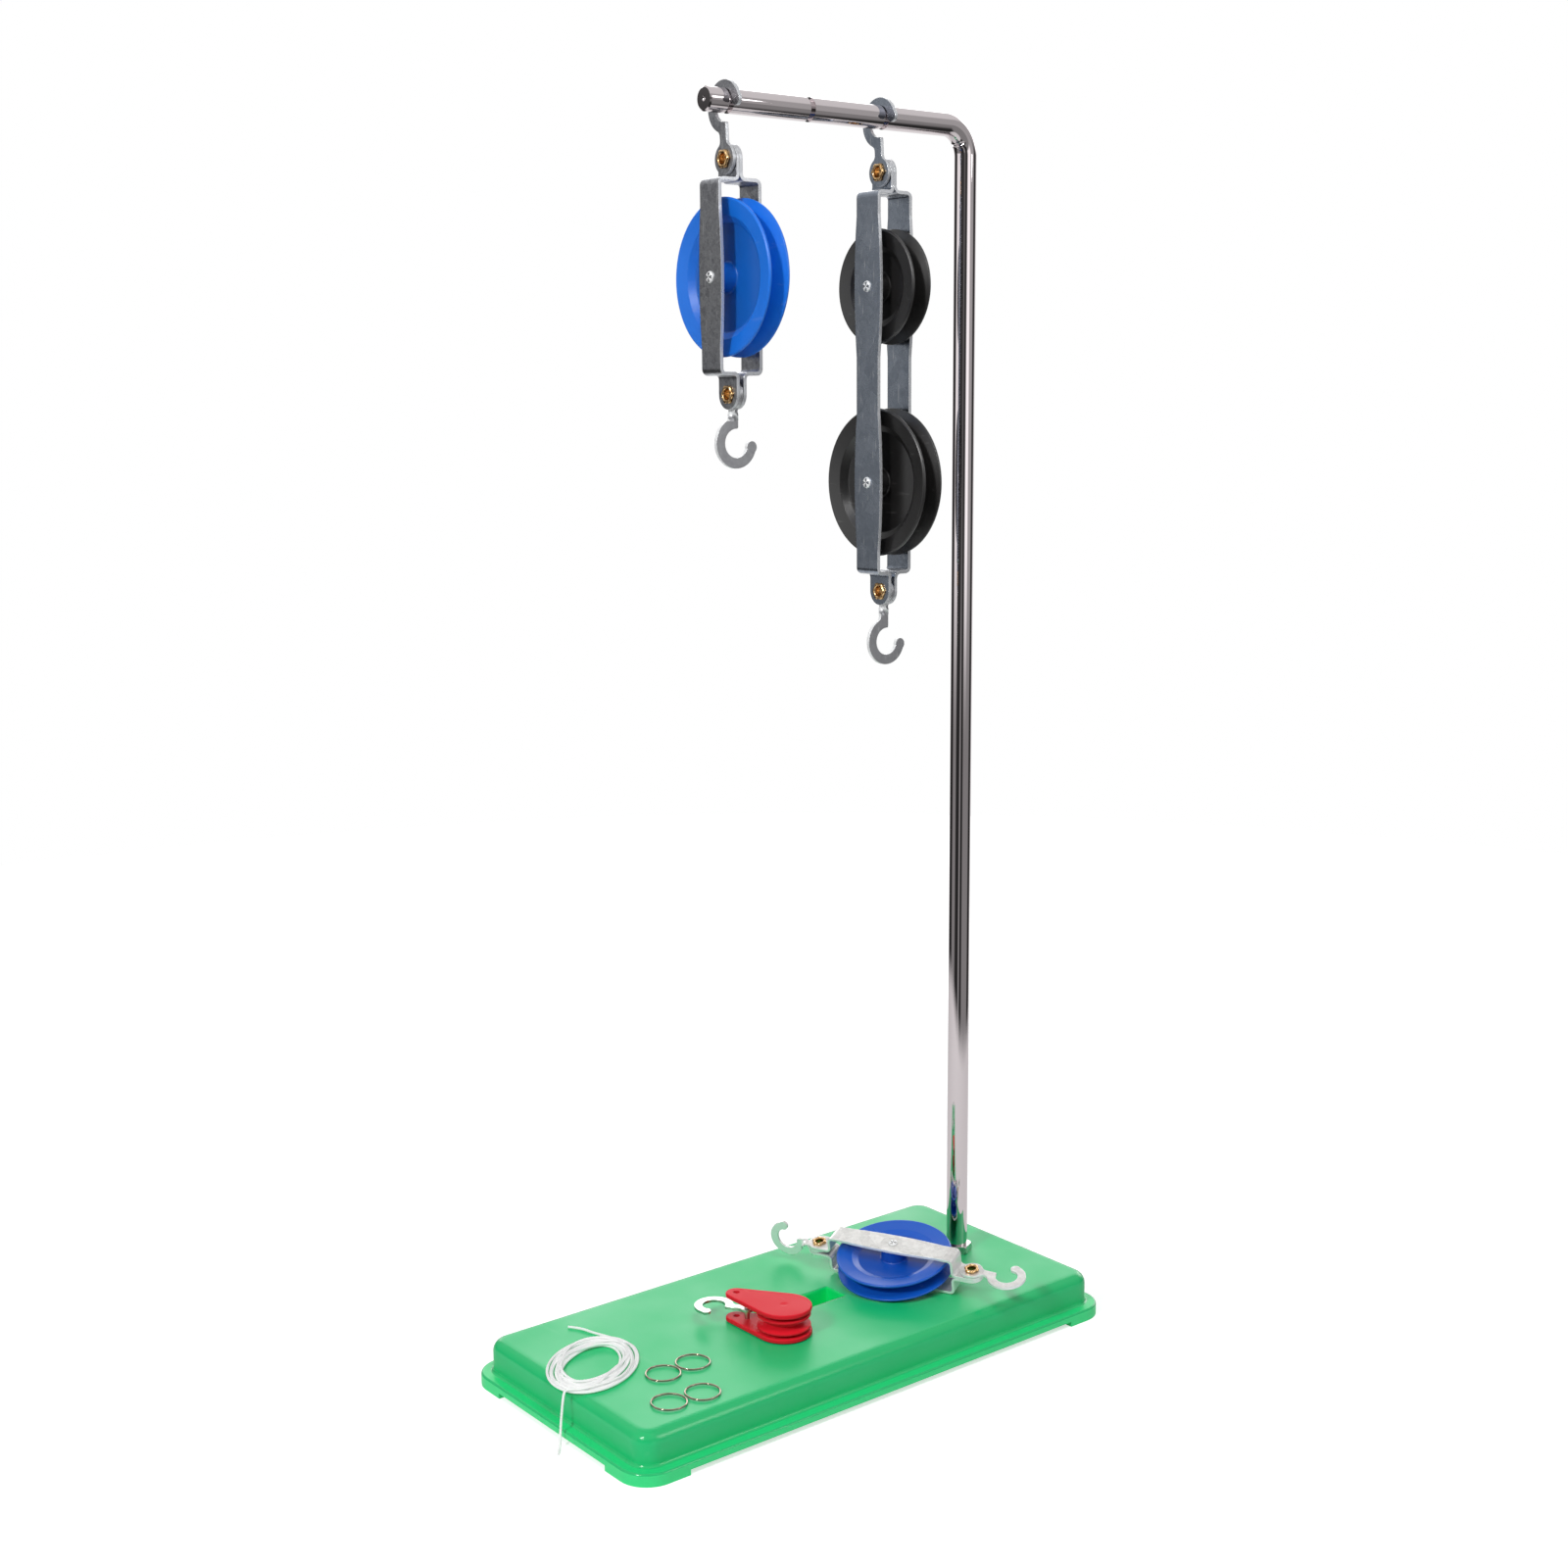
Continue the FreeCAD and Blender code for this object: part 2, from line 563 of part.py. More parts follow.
def strip_blank(block):
    """The strip's front view: round tabs, straight sides, and a gentle swell at each axle."""
    tab = block.fittings.tab_width / 2
    end = block.end_width / 2
    swell = block.axle_width / 2
    high = block.eyelet_half
    shoulder = block.shoulder_half - strip_bend
    taper = strip_bend + block.fittings.plate + 0.4
    edges = [Part.Arc(Vector(0, tab, high), Vector(0, 0, high + tab), Vector(0, -tab, high)).toShape()]
    side = [Vector(0, -tab, high), Vector(0, -tab, shoulder + taper), Vector(0, -end, shoulder)]
    for axle in block.axles:
        start = Vector(0, -end, axle + block.swell_half)
        finish = Vector(0, -end, axle - block.swell_half)
        side.append(start)
        edges.append(Part.Arc(start, Vector(0, -swell, axle), finish).toShape())
        side.append(finish)
    side += [Vector(0, -end, -shoulder), Vector(0, -tab, -shoulder - taper), Vector(0, -tab, -high)]
    swells = range(3, 3 + 2 * len(block.axles), 2)
    for i in range(len(side) - 1):
        if i not in swells and side[i].distanceToPoint(side[i + 1]) > 1e-6:
            edges.append(Part.LineSegment(side[i], side[i + 1]).toShape())
    edges.append(Part.Arc(Vector(0, -tab, -high), Vector(0, 0, -high - tab),
                          Vector(0, tab, -high)).toShape())
    half = [edge for edge in edges if edge.BoundBox.YMax < 1e-6]
    edges += [edge.mirror(ORIGIN, Y_AXIS) for edge in half]
    face = Part.Face(Part.Wire(Part.__sortEdges__(edges)))
    return face.extrude(X_AXIS * (2 * block.outer_half))


def strip(block, side, upper_gap, lower_gap):
    """One side strip. side is -1 for the front one and 1 for the rear one."""
    fittings = block.fittings
    shape = strip_sheet(block, upper_gap, lower_gap).common(strip_blank(block))
    reach = 2 * block.outer_half
    for height in (block.eyelet_half, -block.eyelet_half):
        shape = shape.cut(Part.makeCylinder(fittings.eyelet_barrel + fixed_clearance, reach,
                                            Vector(0, 0, height), X_AXIS))
    for height in block.axles:
        shape = shape.cut(Part.makeCylinder(fittings.tenon + fixed_clearance, reach,
                                            Vector(0, 0, height), X_AXIS))
    if side < 0:
        shape = shape.mirror(ORIGIN, X_AXIS)
    return shape


def eyelet(fittings, low, high):
    """A tubular eyelet along X, rolled over outside low and high."""
    bore = fittings.eyelet_bore
    barrel = fittings.eyelet_barrel
    flange = fittings.eyelet_flange
    lip = 1.0
    corners = [
        (low - lip, bore, 0.35),
        (low - lip, flange - 0.5, 0.5),
        (low, flange, 0),
        (low, barrel, 0),
        (high, barrel, 0),
        (high, flange, 0),
        (high + lip, flange - 0.5, 0.5),
        (high + lip, bore, 0.35),
    ]
    return turned(corners)


def axle(block):
    """A shouldered pin along X: its ends pass through the strips and are peened over."""
    fittings = block.fittings
    head = 0.8
    corners = [
        (block.outer_half + head, 0, 0),
        (block.outer_half + head, fittings.rivet_head - 0.5, 0.4),
        (block.outer_half, fittings.rivet_head, 0),
        (block.outer_half, fittings.tenon, 0),
        (block.inner_half - fixed_clearance, fittings.tenon, 0),
        (block.inner_half - fixed_clearance, fittings.pin, 0),
    ]
    return mirrored_turned(corners)


def sheave(radius, width, hub_half, bore):
    """A grooved wheel: rounded rim, sloping band, step, thin web and a long hub on its bore."""
    rim_out = width / 2
    rim_in = rim_out - sheave_rim
    band = radius - sheave_bevel
    web = band - sheave_step
    bottom = radius - sheave_groove_depth
    corners = [
        (hub_half, bore, 0),
        (hub_half, hub_diameter / 2, 0.5),
        (sheave_web / 2, hub_diameter / 2 + 0.4, 0.8),
        (sheave_web / 2, web, 1.2),
        (rim_out - sheave_bevel_fall, band, 0.8),
        (rim_out, radius - 0.6, 0.45),
        (rim_out - 0.5, radius, 0.25),
        (rim_in, radius, 0.3),
        (0.9, bottom, 0.6),
    ]
    return mirrored_turned(corners)


def metal_block(block, upper_side):
    """Every piece of a metal block by name. upper_side puts the upper hook outside that strip."""
    fittings = block.fittings
    play = side_clearance
    plate = fittings.plate
    lower_gap = plate / 2 + play
    upper_gap = fixed_clearance
    tabs = upper_gap + plate
    hook_offset = upper_side * (tabs + play + plate / 2)
    upper_low = -tabs - fixed_clearance
    upper_high = tabs + fixed_clearance
    if upper_side < 0:
        upper_low = hook_offset - plate / 2 - play
    else:
        upper_high = hook_offset + plate / 2 + play
    lower_half = lower_gap + plate + fixed_clearance
    upper_hook = plain_hook(fittings, fittings.hook_reach, 180)
    lean = math.degrees(math.atan2(fittings.neck_shift, fittings.hook_reach))
    upper_hook.rotate(ORIGIN, X_AXIS, 180 - lean)
    upper_hook.translate(Vector(hook_offset, 0, block.eyelet_half))
    lower_hook = twisted_hook(fittings, block.lower_reach)
    lower_hook.translate(Vector(0, 0, -block.eyelet_half))
    upper_eyelet = eyelet(fittings, upper_low, upper_high)
    lower_eyelet = eyelet(fittings, -lower_half, lower_half)
    pieces = {
        "front_strip": strip(block, -1, upper_gap, lower_gap),
        "rear_strip": strip(block, 1, upper_gap, lower_gap),
        "upper_eyelet": upper_eyelet.translate(Vector(0, 0, block.eyelet_half)),
        "lower_eyelet": lower_eyelet.translate(Vector(0, 0, -block.eyelet_half)),
        "upper_hook": upper_hook,
        "lower_hook": lower_hook,
    }
    labels = [""] if len(block.axles) == 1 else ["upper_", "lower_"]
    for label, height, radius in zip(labels, block.axles, block.sheaves):
        wheel = sheave(radius, block.sheave_width, block.inner_half - side_clearance,
                       fittings.pin + running_clearance)
        pieces[label + "axle"] = axle(block).translate(Vector(0, 0, height))
        pieces[label + "sheave"] = wheel.translate(Vector(0, 0, height))
    return pieces


def hook_drop(fittings):
    """From a hanging block's upper eyelet up to the arm's axis."""
    ring_to_eye = math.hypot(fittings.hook_reach, fittings.neck_shift)
    return ring_to_eye + fittings.ring_inner - groove_radius - resting_gap


def hanging_block(block, hook_x, name):
    """A block hung with its upper hook in the groove at hook_x."""
    fittings = block.fittings
    hook_offset = -(fixed_clearance + fittings.plate * 1.5 + side_clearance)
    middle = arm_height - hook_drop(fittings) - block.eyelet_half
    place = Vector(hook_x - hook_offset, 0, middle)
    return {name + "_" + label: shape.translate(place)
            for label, shape in metal_block(block, -1).items()}


def lying_block(block, name):
    """A block on the base, resting on one edge of its lower strip and on its sheave's rim."""
    rim_height = block.outer_half - block.sheave_width / 2
    rim_out = block.sheaves[0] - block.axle_width / 2
    tilt = math.degrees(math.atan2(rim_height, rim_out))
    angle = math.radians(tilt)
    middle = block.outer_half * math.cos(angle) + block.axle_width / 2 * math.sin(angle)
    turn = FreeCAD.Rotation(X_AXIS + Z_AXIS, 180)
    turn = FreeCAD.Rotation(X_AXIS, tilt).multiply(turn)
    turn = FreeCAD.Rotation(Z_AXIS, small_block_heading).multiply(turn)
    place = Vector(small_block_place[0], small_block_place[1], loose_level + middle)
    print(name, "tilt", round(tilt, 3), "middle", [round(v, 3) for v in place],
          "axle", [round(v, 6) for v in turn.multVec(X_AXIS)],
          "long", [round(v, 6) for v in turn.multVec(Z_AXIS)])
    placed = {}
    for label, shape in metal_block(block, 1).items():
        shape.Placement = FreeCAD.Placement(place, turn).multiply(shape.Placement)
        placed[name + "_" + label] = shape
    return placed


# ------------------------------------------------------------------ the plastic block
def teardrop(big, small, distance, thickness):
    """A plate with round ends of two radii, the big one at the origin and the small one at +X."""
    lean = math.acos((big - small) / distance)
    big_top = Vector(big * math.cos(lean), big * math.sin(lean), 0)
    small_top = Vector(distance + small * math.cos(lean), small * math.sin(lean), 0)
    big_low = Vector(big_top.x, -big_top.y, 0)
    small_low = Vector(small_top.x, -small_top.y, 0)
    edges = [
        Part.Arc(big_top, Vector(-big, 0, 0), big_low).toShape(),
        Part.LineSegment(big_low, small_low).toShape(),
        Part.Arc(small_low, Vector(distance + small, 0, 0), small_top).toShape(),
        Part.LineSegment(small_top, big_top).toShape(),
    ]
    plate = Part.Face(Part.Wire(edges)).extrude(Z_AXIS * thickness)
    return plate.makeFillet(0.5, edges_at(plate, thickness, (0, 0)) + edges_at(plate, 0, (0, 0)))


def plastic_block():
    """Two cheeks, their sheave and pins, and the flat hook between them, lying on the base."""
    low_cheek = teardrop(plastic_big_round, plastic_small_round, plastic_end_distance,
                         plastic_cheek)
    eye = Part.makeCylinder(plastic_eye_radius, plastic_cheek, X_AXIS * plastic_end_distance)
    axle_floor = plastic_cheek - plastic_axle_seat
    axle_hole = Part.makeCylinder(plastic_axle_radius + fixed_clearance, plastic_axle_seat,
                                  Vector(0, 0, axle_floor))
    bowl = (plastic_dimple_radius ** 2 + plastic_dimple_depth ** 2) / (2 * plastic_dimple_depth)
    dimple = Part.makeSphere(bowl, Vector(0, 0, plastic_dimple_depth - bowl))
    seat_floor = plastic_cheek - plastic_hook_pin_seat
    pin_hole = Part.makeCylinder(plastic_hook_pin_radius + fixed_clearance, plastic_hook_pin_seat,
                                 Vector(plastic_hook_pin, 0, seat_floor))
    low_cheek = low_cheek.cut(axle_hole.multiFuse([eye, pin_hole, dimple]))
    total = 2 * plastic_cheek + plastic_inside
    middle = total / 2
    high_cheek = low_cheek.mirror(Vector(0, 0, middle), Z_AXIS)
    axle_end = axle_floor + fixed_clearance
    axle_pin = Part.makeCylinder(plastic_axle_radius, total - 2 * axle_end, Z_AXIS * axle_end)
    end_play = seat_floor + fixed_clearance
    hook_pin = Part.makeCylinder(plastic_hook_pin_radius, total - 2 * end_play,
                                 Vector(plastic_hook_pin, 0, end_play))
    half = plastic_sheave_width / 2
    boss = plastic_inside / 2 - side_clearance
    wheel = mirrored_turned([
        (boss, plastic_axle_radius + running_clearance, 0),
        (boss, plastic_axle_radius + 2.0, 0.3),
        (half - 0.4, plastic_axle_radius + 2.4, 0.3),
        (half, plastic_sheave_radius - 1.0, 0.4),
        (half - 0.2, plastic_sheave_radius, 0.2),
        (half - plastic_rim, plastic_sheave_radius, 0.2),
        (0.6, plastic_sheave_radius - plastic_groove_depth, 0.4),
    ])
    wheel.rotate(ORIGIN, Y_AXIS, 90)
    wheel.translate(Z_AXIS * middle)
    fittings = Fittings(plate=1.2, tab_width=6.4, ring_outer=8.8, ring_section=3.6,
                        hook_reach=15.3, neck_width=3.4, neck_shift=1.0, eyelet_flange=0, pin=0,
                        rivet_head=0, eyelet_barrel=plastic_hook_pin_radius, eyelet_bore=0)
    hook = flat_hook(fittings, fittings.hook_reach)
    hook.rotate(ORIGIN, Z_AXIS, 90 + plastic_hook_turn)
    hook.translate(Vector(plastic_hook_pin, 0, middle))
    pieces = {"plastic_low_cheek": low_cheek, "plastic_high_cheek": high_cheek,
              "plastic_axle": axle_pin, "plastic_hook_pin": hook_pin, "plastic_sheave": wheel,
              "plastic_hook": hook}
    place = Vector(plastic_place[0], plastic_place[1], loose_level)
    for shape in pieces.values():
        shape.rotate(ORIGIN, Z_AXIS, plastic_heading)
        shape.translate(place)
    return pieces


# ------------------------------------------------------------------ rings and string
def wire_rings():
    """Four closed rings of thin wire, flat on the base."""
    level = loose_level + ring_wire / 2
    return {"wire_ring_%d" % (i + 1): Part.makeTorus(ring_diameter / 2, ring_wire / 2,
                                                     Vector(x, y, level))
            for i, (x, y) in enumerate(ring_places)}


def oval(half_lengths, low, high):
    """An upright oval column at the coil's place."""
    curve = Part.Ellipse(ORIGIN, half_lengths[0], half_lengths[1]).toShape()
    column = Part.Face(Part.Wire(curve)).extrude(Z_AXIS * (high - low))
    column.rotate(ORIGIN, Z_AXIS, coil_heading)
    return column.translate(Vector(coil_place[0], coil_place[1], low))


def string_pieces():
    """The string's coil as one closed solid, and its two loose ends as tubes."""
    coil = oval(coil_outer, base_height, coil_top).cut(oval(coil_inner, base_height, coil_top))
    return {"string_coil": coil,
            "string_tail": rounded_tube(tail_route, string_diameter / 2, "string_tail"),
            "string_end": rounded_tube(end_route, string_diameter / 2, "string_end")}


# ------------------------------------------------------------------ all pieces
def main():
    pieces = {"base_moulding": base_moulding(), "support_rod": support_rod()}
    pieces.update(rod_fasteners())
    pieces.update(hanging_block(single_block, single_x, "single"))
    pieces.update(hanging_block(tandem_block, tandem_x, "tandem"))
    pieces.update(lying_block(small_block, "small"))
    pieces.update(plastic_block())
    pieces.update(wire_rings())
    pieces.update(string_pieces())
    os.makedirs("parts", exist_ok=True)
    for name, shape in pieces.items():
        if not shape.isValid() or len(shape.Solids) != 1:
            raise ValueError("%s is not one valid solid" % name)
        shape.Solids[0].exportStep(os.path.join("parts", name + ".step"))


main()
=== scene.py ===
import json
import math

import bmesh
import bpy
from bpy.props import FloatProperty, FloatVectorProperty, IntProperty, PointerProperty
from mathutils import Matrix, Vector


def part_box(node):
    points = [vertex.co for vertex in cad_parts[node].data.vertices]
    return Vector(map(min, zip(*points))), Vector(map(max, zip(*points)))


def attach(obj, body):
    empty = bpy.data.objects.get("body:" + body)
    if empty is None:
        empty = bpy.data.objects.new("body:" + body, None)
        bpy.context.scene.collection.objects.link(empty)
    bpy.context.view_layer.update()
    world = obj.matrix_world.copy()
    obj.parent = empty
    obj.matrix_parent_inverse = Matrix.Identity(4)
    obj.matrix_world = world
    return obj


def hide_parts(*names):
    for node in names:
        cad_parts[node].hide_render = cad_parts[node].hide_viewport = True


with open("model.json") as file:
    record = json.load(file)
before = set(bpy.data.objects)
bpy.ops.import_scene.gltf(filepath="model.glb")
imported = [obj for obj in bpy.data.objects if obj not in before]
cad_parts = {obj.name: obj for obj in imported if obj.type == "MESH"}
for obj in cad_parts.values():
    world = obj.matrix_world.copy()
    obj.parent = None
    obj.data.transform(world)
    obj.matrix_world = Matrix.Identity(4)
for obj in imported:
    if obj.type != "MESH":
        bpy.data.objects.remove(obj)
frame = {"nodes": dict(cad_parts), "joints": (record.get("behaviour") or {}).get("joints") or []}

# Pulley demonstrator for the classroom: a chromed rod bent over a moulded base, two metal pulley
# blocks hanging from grooves in its arm, and on the base a small metal block, a plastic block,
# four wire rings and a coil of string. Metres, +Z up, the origin in the middle of the base.

bl_info = {
    "name": "Pulley demonstrator",
    "version": (1, 0, 0),
    "blender": (4, 5, 0),
    "location": "View3D > Sidebar > Pulleys",
    "description": "Finishes, string, rings, eyelets and rivet heads of a classroom pulley stand",
    "category": "Object",
}

MM = 0.001
TURN = 2 * math.pi
X_AXIS, Y_AXIS, Z_AXIS = Vector((1, 0, 0)), Vector((0, 1, 0)), Vector((0, 0, 1))
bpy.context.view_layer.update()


def linear(code):
    """The linear colour of an sRGB hex value."""
    parts = [int(code[i:i + 2], 16) / 255 for i in (1, 3, 5)]
    parts = [c / 12.92 if c <= 0.04045 else ((c + 0.055) / 1.055) ** 2.4 for c in parts]
    return (*parts, 1.0)


BRIGHT = linear("#F8F9FA")      # fresh zinc of drag lines and peened heads, and painted highlight on edges and sheared sides


def colour_of(code, description):
    """A colour property with a name taken from its description."""
    return FloatVectorProperty(name=description.split(",")[0], description=description, size=4,
                               subtype="COLOR", default=linear(code), min=0.0, max=1.0)


def size_of(millimetres, description):
    """A length property in metres with a name taken from its description."""
    return FloatProperty(name=description.split(",")[0], description=description, min=0.0,
                         default=millimetres * MM, unit="LENGTH", precision=5)


# ------------------------------------------------------------------ what a user may change
ring_low, ring_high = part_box("wire_ring_1")
wire_thickness = ring_high.z - ring_low.z
ring_across = ring_high.x - ring_low.x - wire_thickness
string_low, string_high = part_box("string_end")


class PulleyColours(bpy.types.PropertyGroup):
    """Colours of the finishes."""

    base: colour_of("#14CC7D", "Base, polypropylene coloured through")
    blue: colour_of("#147AEA", "Blue sheaves, polypropylene coloured through")
    black: colour_of("#0D0C0C", "Black sheaves, moulded ABS")
    red: colour_of("#EC2233", "Red block, moulded polystyrene")
    chrome: colour_of("#D0C8CA", "Chrome plating, polished")
    zinc: colour_of("#D2D1CC", "Zinc plating, passivated clear")
    brass: colour_of("#E6C08C", "Brass of the eyelets")
    wire: colour_of("#B8AC9A", "Wire of the rings, drawn steel")
    string: colour_of("#FBFBF9", "String, bleached cotton")


class PulleySizes(bpy.types.PropertyGroup):
    """Sizes of the pieces that are made here."""

    wire: size_of(wire_thickness / MM, "Ring wire, its diameter")
    ring: size_of(ring_across / MM, "Ring, across its wire's middle")
    ring_gap: size_of(0.25, "Ring joint, the slit between the wire's two ends")
    string: size_of((string_high.z - string_low.z) / MM, "String, its diameter")
    lay: size_of(4.2, "String lay, the length of one turn of its three plies")
    eyelet_corner: size_of(0.28, "Eyelet corner, how far the six corners of its rim stand out")
    stake: size_of(0.3, "Stake mark, its depth in a rivet's head")
    turns: IntProperty(name="Turns", default=9, min=4, max=12,
                       description="Turns of the string in the lower layer of its coil")


# ------------------------------------------------------------------ nodes
def add(tree, kind, settings=None, inputs=None):
    """Adds a node. inputs holds values or sockets to link, by the input's name or number."""
    node = tree.nodes.new(kind)
    for key, value in (settings or {}).items():
        setattr(node, key, value)
    for key, value in (inputs or {}).items():
        if isinstance(value, bpy.types.NodeSocket):
            tree.links.new(value, node.inputs[key])
        else:
            node.inputs[key].default_value = value
    return node


def geometry_tree(name, inputs):
    """A new geometry tree, its input node's sockets by name, and a function that ends it."""
    tree = bpy.data.node_groups.new(name, "GeometryNodeTree")
    for label, kind in inputs:
        tree.interface.new_socket(label, in_out="INPUT", socket_type="NodeSocket" + kind)
    tree.interface.new_socket("Geometry", in_out="OUTPUT", socket_type="NodeSocketGeometry")
    start = add(tree, "NodeGroupInput").outputs

    def end(geometry, dent=None):
        real = add(tree, "GeometryNodeRealizeInstances", inputs={"Geometry": geometry})
        painted = add(tree, "GeometryNodeSetMaterial",
                      inputs={"Geometry": real.outputs[0], "Material": start["Material"]})
        if dent:
            painted = add(tree, "GeometryNodeSetMaterial",
                          inputs={"Geometry": painted.outputs[0], "Selection": dent,
                                  "Material": start["Dent Material"]})
        add(tree, "NodeGroupOutput", inputs={"Geometry": painted.outputs[0]})
        return tree

    return tree, start, end


def grown(tree, name, values, source=None):
    """The plain mesh that a node tree makes from its named inputs, on top of a source mesh."""
    mesh = source or bpy.data.meshes.new(name + "_start")
    holder = bpy.data.objects.new(name + "_holder", mesh)
    bpy.context.scene.collection.objects.link(holder)
    modifier = holder.modifiers.new("Grow", "NODES")
    modifier.node_group = tree
    for item in tree.interface.items_tree:
        if item.in_out == "INPUT" and item.name in values:
            modifier[item.identifier] = values[item.name]
    evaluated = holder.evaluated_get(bpy.context.evaluated_depsgraph_get())
    made = bpy.data.meshes.new_from_object(evaluated)
    made.name = name
    holder.modifiers.remove(modifier)
    bpy.data.objects.remove(holder)
    return made


# ------------------------------------------------------------------ pieces
def piece(name, mesh, material, body):
    """An object at the origin that rides on a body. Its mesh gets a material unless it has one."""
    made = bpy.data.objects.new(name, mesh)
    bpy.context.scene.collection.objects.link(made)
    if material:
        mesh.materials.clear()
        mesh.materials.append(material)
    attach(made, body)
    return made


def mesh_from(name, points, faces, soft=True):
    """A mesh from its points and faces, its normals pointing out."""
    mesh = bpy.data.meshes.new(name)
    mesh.from_pydata(points, [], faces)
    form = bmesh.new()
    form.from_mesh(mesh)
    bmesh.ops.remove_doubles(form, verts=form.verts, dist=1e-7)
    bmesh.ops.recalc_face_normals(form, faces=form.faces)
    for face in form.faces:
        face.smooth = soft
    form.to_mesh(mesh)
    form.free()
    return mesh


def skin(rows, steps, closed=False):
    """The faces between rows of points, each row a ring of that many steps."""
    return [(i * steps + j, i * steps + (j + 1) % steps,
             (i + 1) % rows * steps + (j + 1) % steps, (i + 1) % rows * steps + j)
            for i in range(rows if closed else rows - 1) for j in range(steps)]


def joint(name):
    """A joint's place and axis."""
    found = next(j for j in frame["joints"] if j["name"] == name)
    return Vector(found["pos_m"]), Vector(found["axis"]).normalized()


def span(node, origin, axis):
    """How far a CAD node reaches below and above a point, along an axis."""
    reach = [(v.co - origin).dot(axis) for v in frame["nodes"][node].data.vertices]
    return min(reach), max(reach)


def repaint(material, *nodes):
    """Gives CAD nodes their finish."""
    for node in nodes:
        slots = frame["nodes"][node].data.materials
        slots.clear()
        slots.append(material)


# ------------------------------------------------------------------ finishes
def begin(name):
    """A new material, its tree and the piece's own coordinates."""
    material = bpy.data.materials.new(name)
    material.use_nodes = True
    tree = material.node_tree
    tree.nodes.clear()
    return material, tree, add(tree, "ShaderNodeTexCoord").outputs["Object"]


def close(tree, inputs, height, depth, normal=None):
    """Ends a material with a bump of that depth in metres and one principled shader."""
    bump = add(tree, "ShaderNodeBump", inputs={"Height": height, "Distance": depth,
                                               "Strength": 1.0})
    if normal:
        tree.links.new(normal, bump.inputs["Normal"])
    shader = add(tree, "ShaderNodeBsdfPrincipled", inputs={**inputs, "Normal": bump.outputs[0]})
    add(tree, "ShaderNodeOutputMaterial", inputs={"Surface": shader.outputs[0]})


def per(millimetres):
    """The texture scale that gives a pattern of that size."""
    return 1 / (millimetres * MM)


def lines(tree, place, rotation, scale, millimetres, detail, low, high, strength):
    """Fine lines along a slanting direction, where drawn-out noise passes from low to high."""
    skew = add(tree, "ShaderNodeMapping", inputs={"Vector": place, "Rotation": rotation,
                                                  "Scale": scale})
    grain = add(tree, "ShaderNodeTexNoise", inputs={
        "Vector": skew.outputs[0], "Scale": per(millimetres), "Detail": detail})
    return add(tree, "ShaderNodeMapRange", inputs={
        "Value": grain.outputs[0], "From Min": low, "From Max": high,
        "To Max": strength}).outputs[0]


def moulded(name, colour, shade, roughness, ior, grain_mm, scuff_mm, scuff, weight=0.0,
            specular=0.5, detail=None):
    """Injection-moulded plastic. The colour goes right through it. It is glossy from the mould's
    polish, clouded a little where it cooled unevenly, and has short fine scuffs from handling.
    shade is the colour of its clouds, scuff how strong its scuffs are and weight the share of light
    that goes into it. detail takes its colour and roughness and gives them back, with a normal or
    None, as the piece needs them."""
    cloud_mm, grain_depth, glow_depth = 38, 0.004 * MM, 0.8 * MM
    material, tree, place = begin(name)
    cloud = add(tree, "ShaderNodeTexNoise", inputs={"Vector": place, "Scale": per(cloud_mm),
                                                    "Detail": 3.0}).outputs[0]
    grain = add(tree, "ShaderNodeTexNoise", inputs={"Vector": place, "Scale": per(grain_mm),
                                                    "Detail": 2.0}).outputs[0]
    marks = lines(tree, place, rotation=(0.3, 0.5, 0.7), scale=(1.0, 0.12, 1.0),
                  millimetres=scuff_mm, detail=2.0, low=0.66, high=0.74, strength=scuff)
    tone = add(tree, "ShaderNodeMix", {"data_type": "RGBA"},
               {"Factor": cloud, "A": colour, "B": shade}).outputs["Result"]
    rubbed = tuple(0.55 * c + 0.35 for c in colour[:3]) + (1.0,)
    paint = add(tree, "ShaderNodeMix", {"data_type": "RGBA"},
                {"Factor": marks, "A": tone, "B": rubbed}).outputs["Result"]
    rough = add(tree, "ShaderNodeMapRange", inputs={
        "Value": cloud, "From Min": 0.3, "From Max": 0.7, "To Min": roughness * 0.85,
        "To Max": roughness * 1.15}).outputs[0]
    normal = None
    if detail:
        paint, rough, normal = detail(tree, place, paint, rough)
    close(tree, {"Base Color": paint, "Roughness": rough, "IOR": ior,
                 "Specular IOR Level": specular, "Subsurface Weight": weight,
                 "Subsurface Radius": (1.0, 1.0, 1.0), "Subsurface Scale": glow_depth},
          grain, grain_depth, normal)
    return material


def chromed(name, colour):
    """Chrome plating on a polished steel rod: a mirror with a slightly warm grey tint, and
    polishing lines so fine that they only soften the reflections here and there."""
    haze_mm, polish_mm, polish_depth = 22, 0.9, 0.0006 * MM
    material, tree, place = begin(name)
    haze = add(tree, "ShaderNodeTexNoise", inputs={"Vector": place, "Scale": per(haze_mm),
                                                   "Detail": 4.0})
    polish = add(tree, "ShaderNodeTexNoise", inputs={"Vector": place, "Scale": per(polish_mm),
                                                     "Detail": 2.0})
    rough = add(tree, "ShaderNodeMapRange", inputs={
        "Value": haze.outputs[0], "From Min": 0.35, "From Max": 0.7, "To Min": 0.02,
        "To Max": 0.035})
    close(tree, {"Base Color": colour, "Metallic": 1.0, "Roughness": rough.outputs[0]},
          polish.outputs[0], polish_depth)
    return material


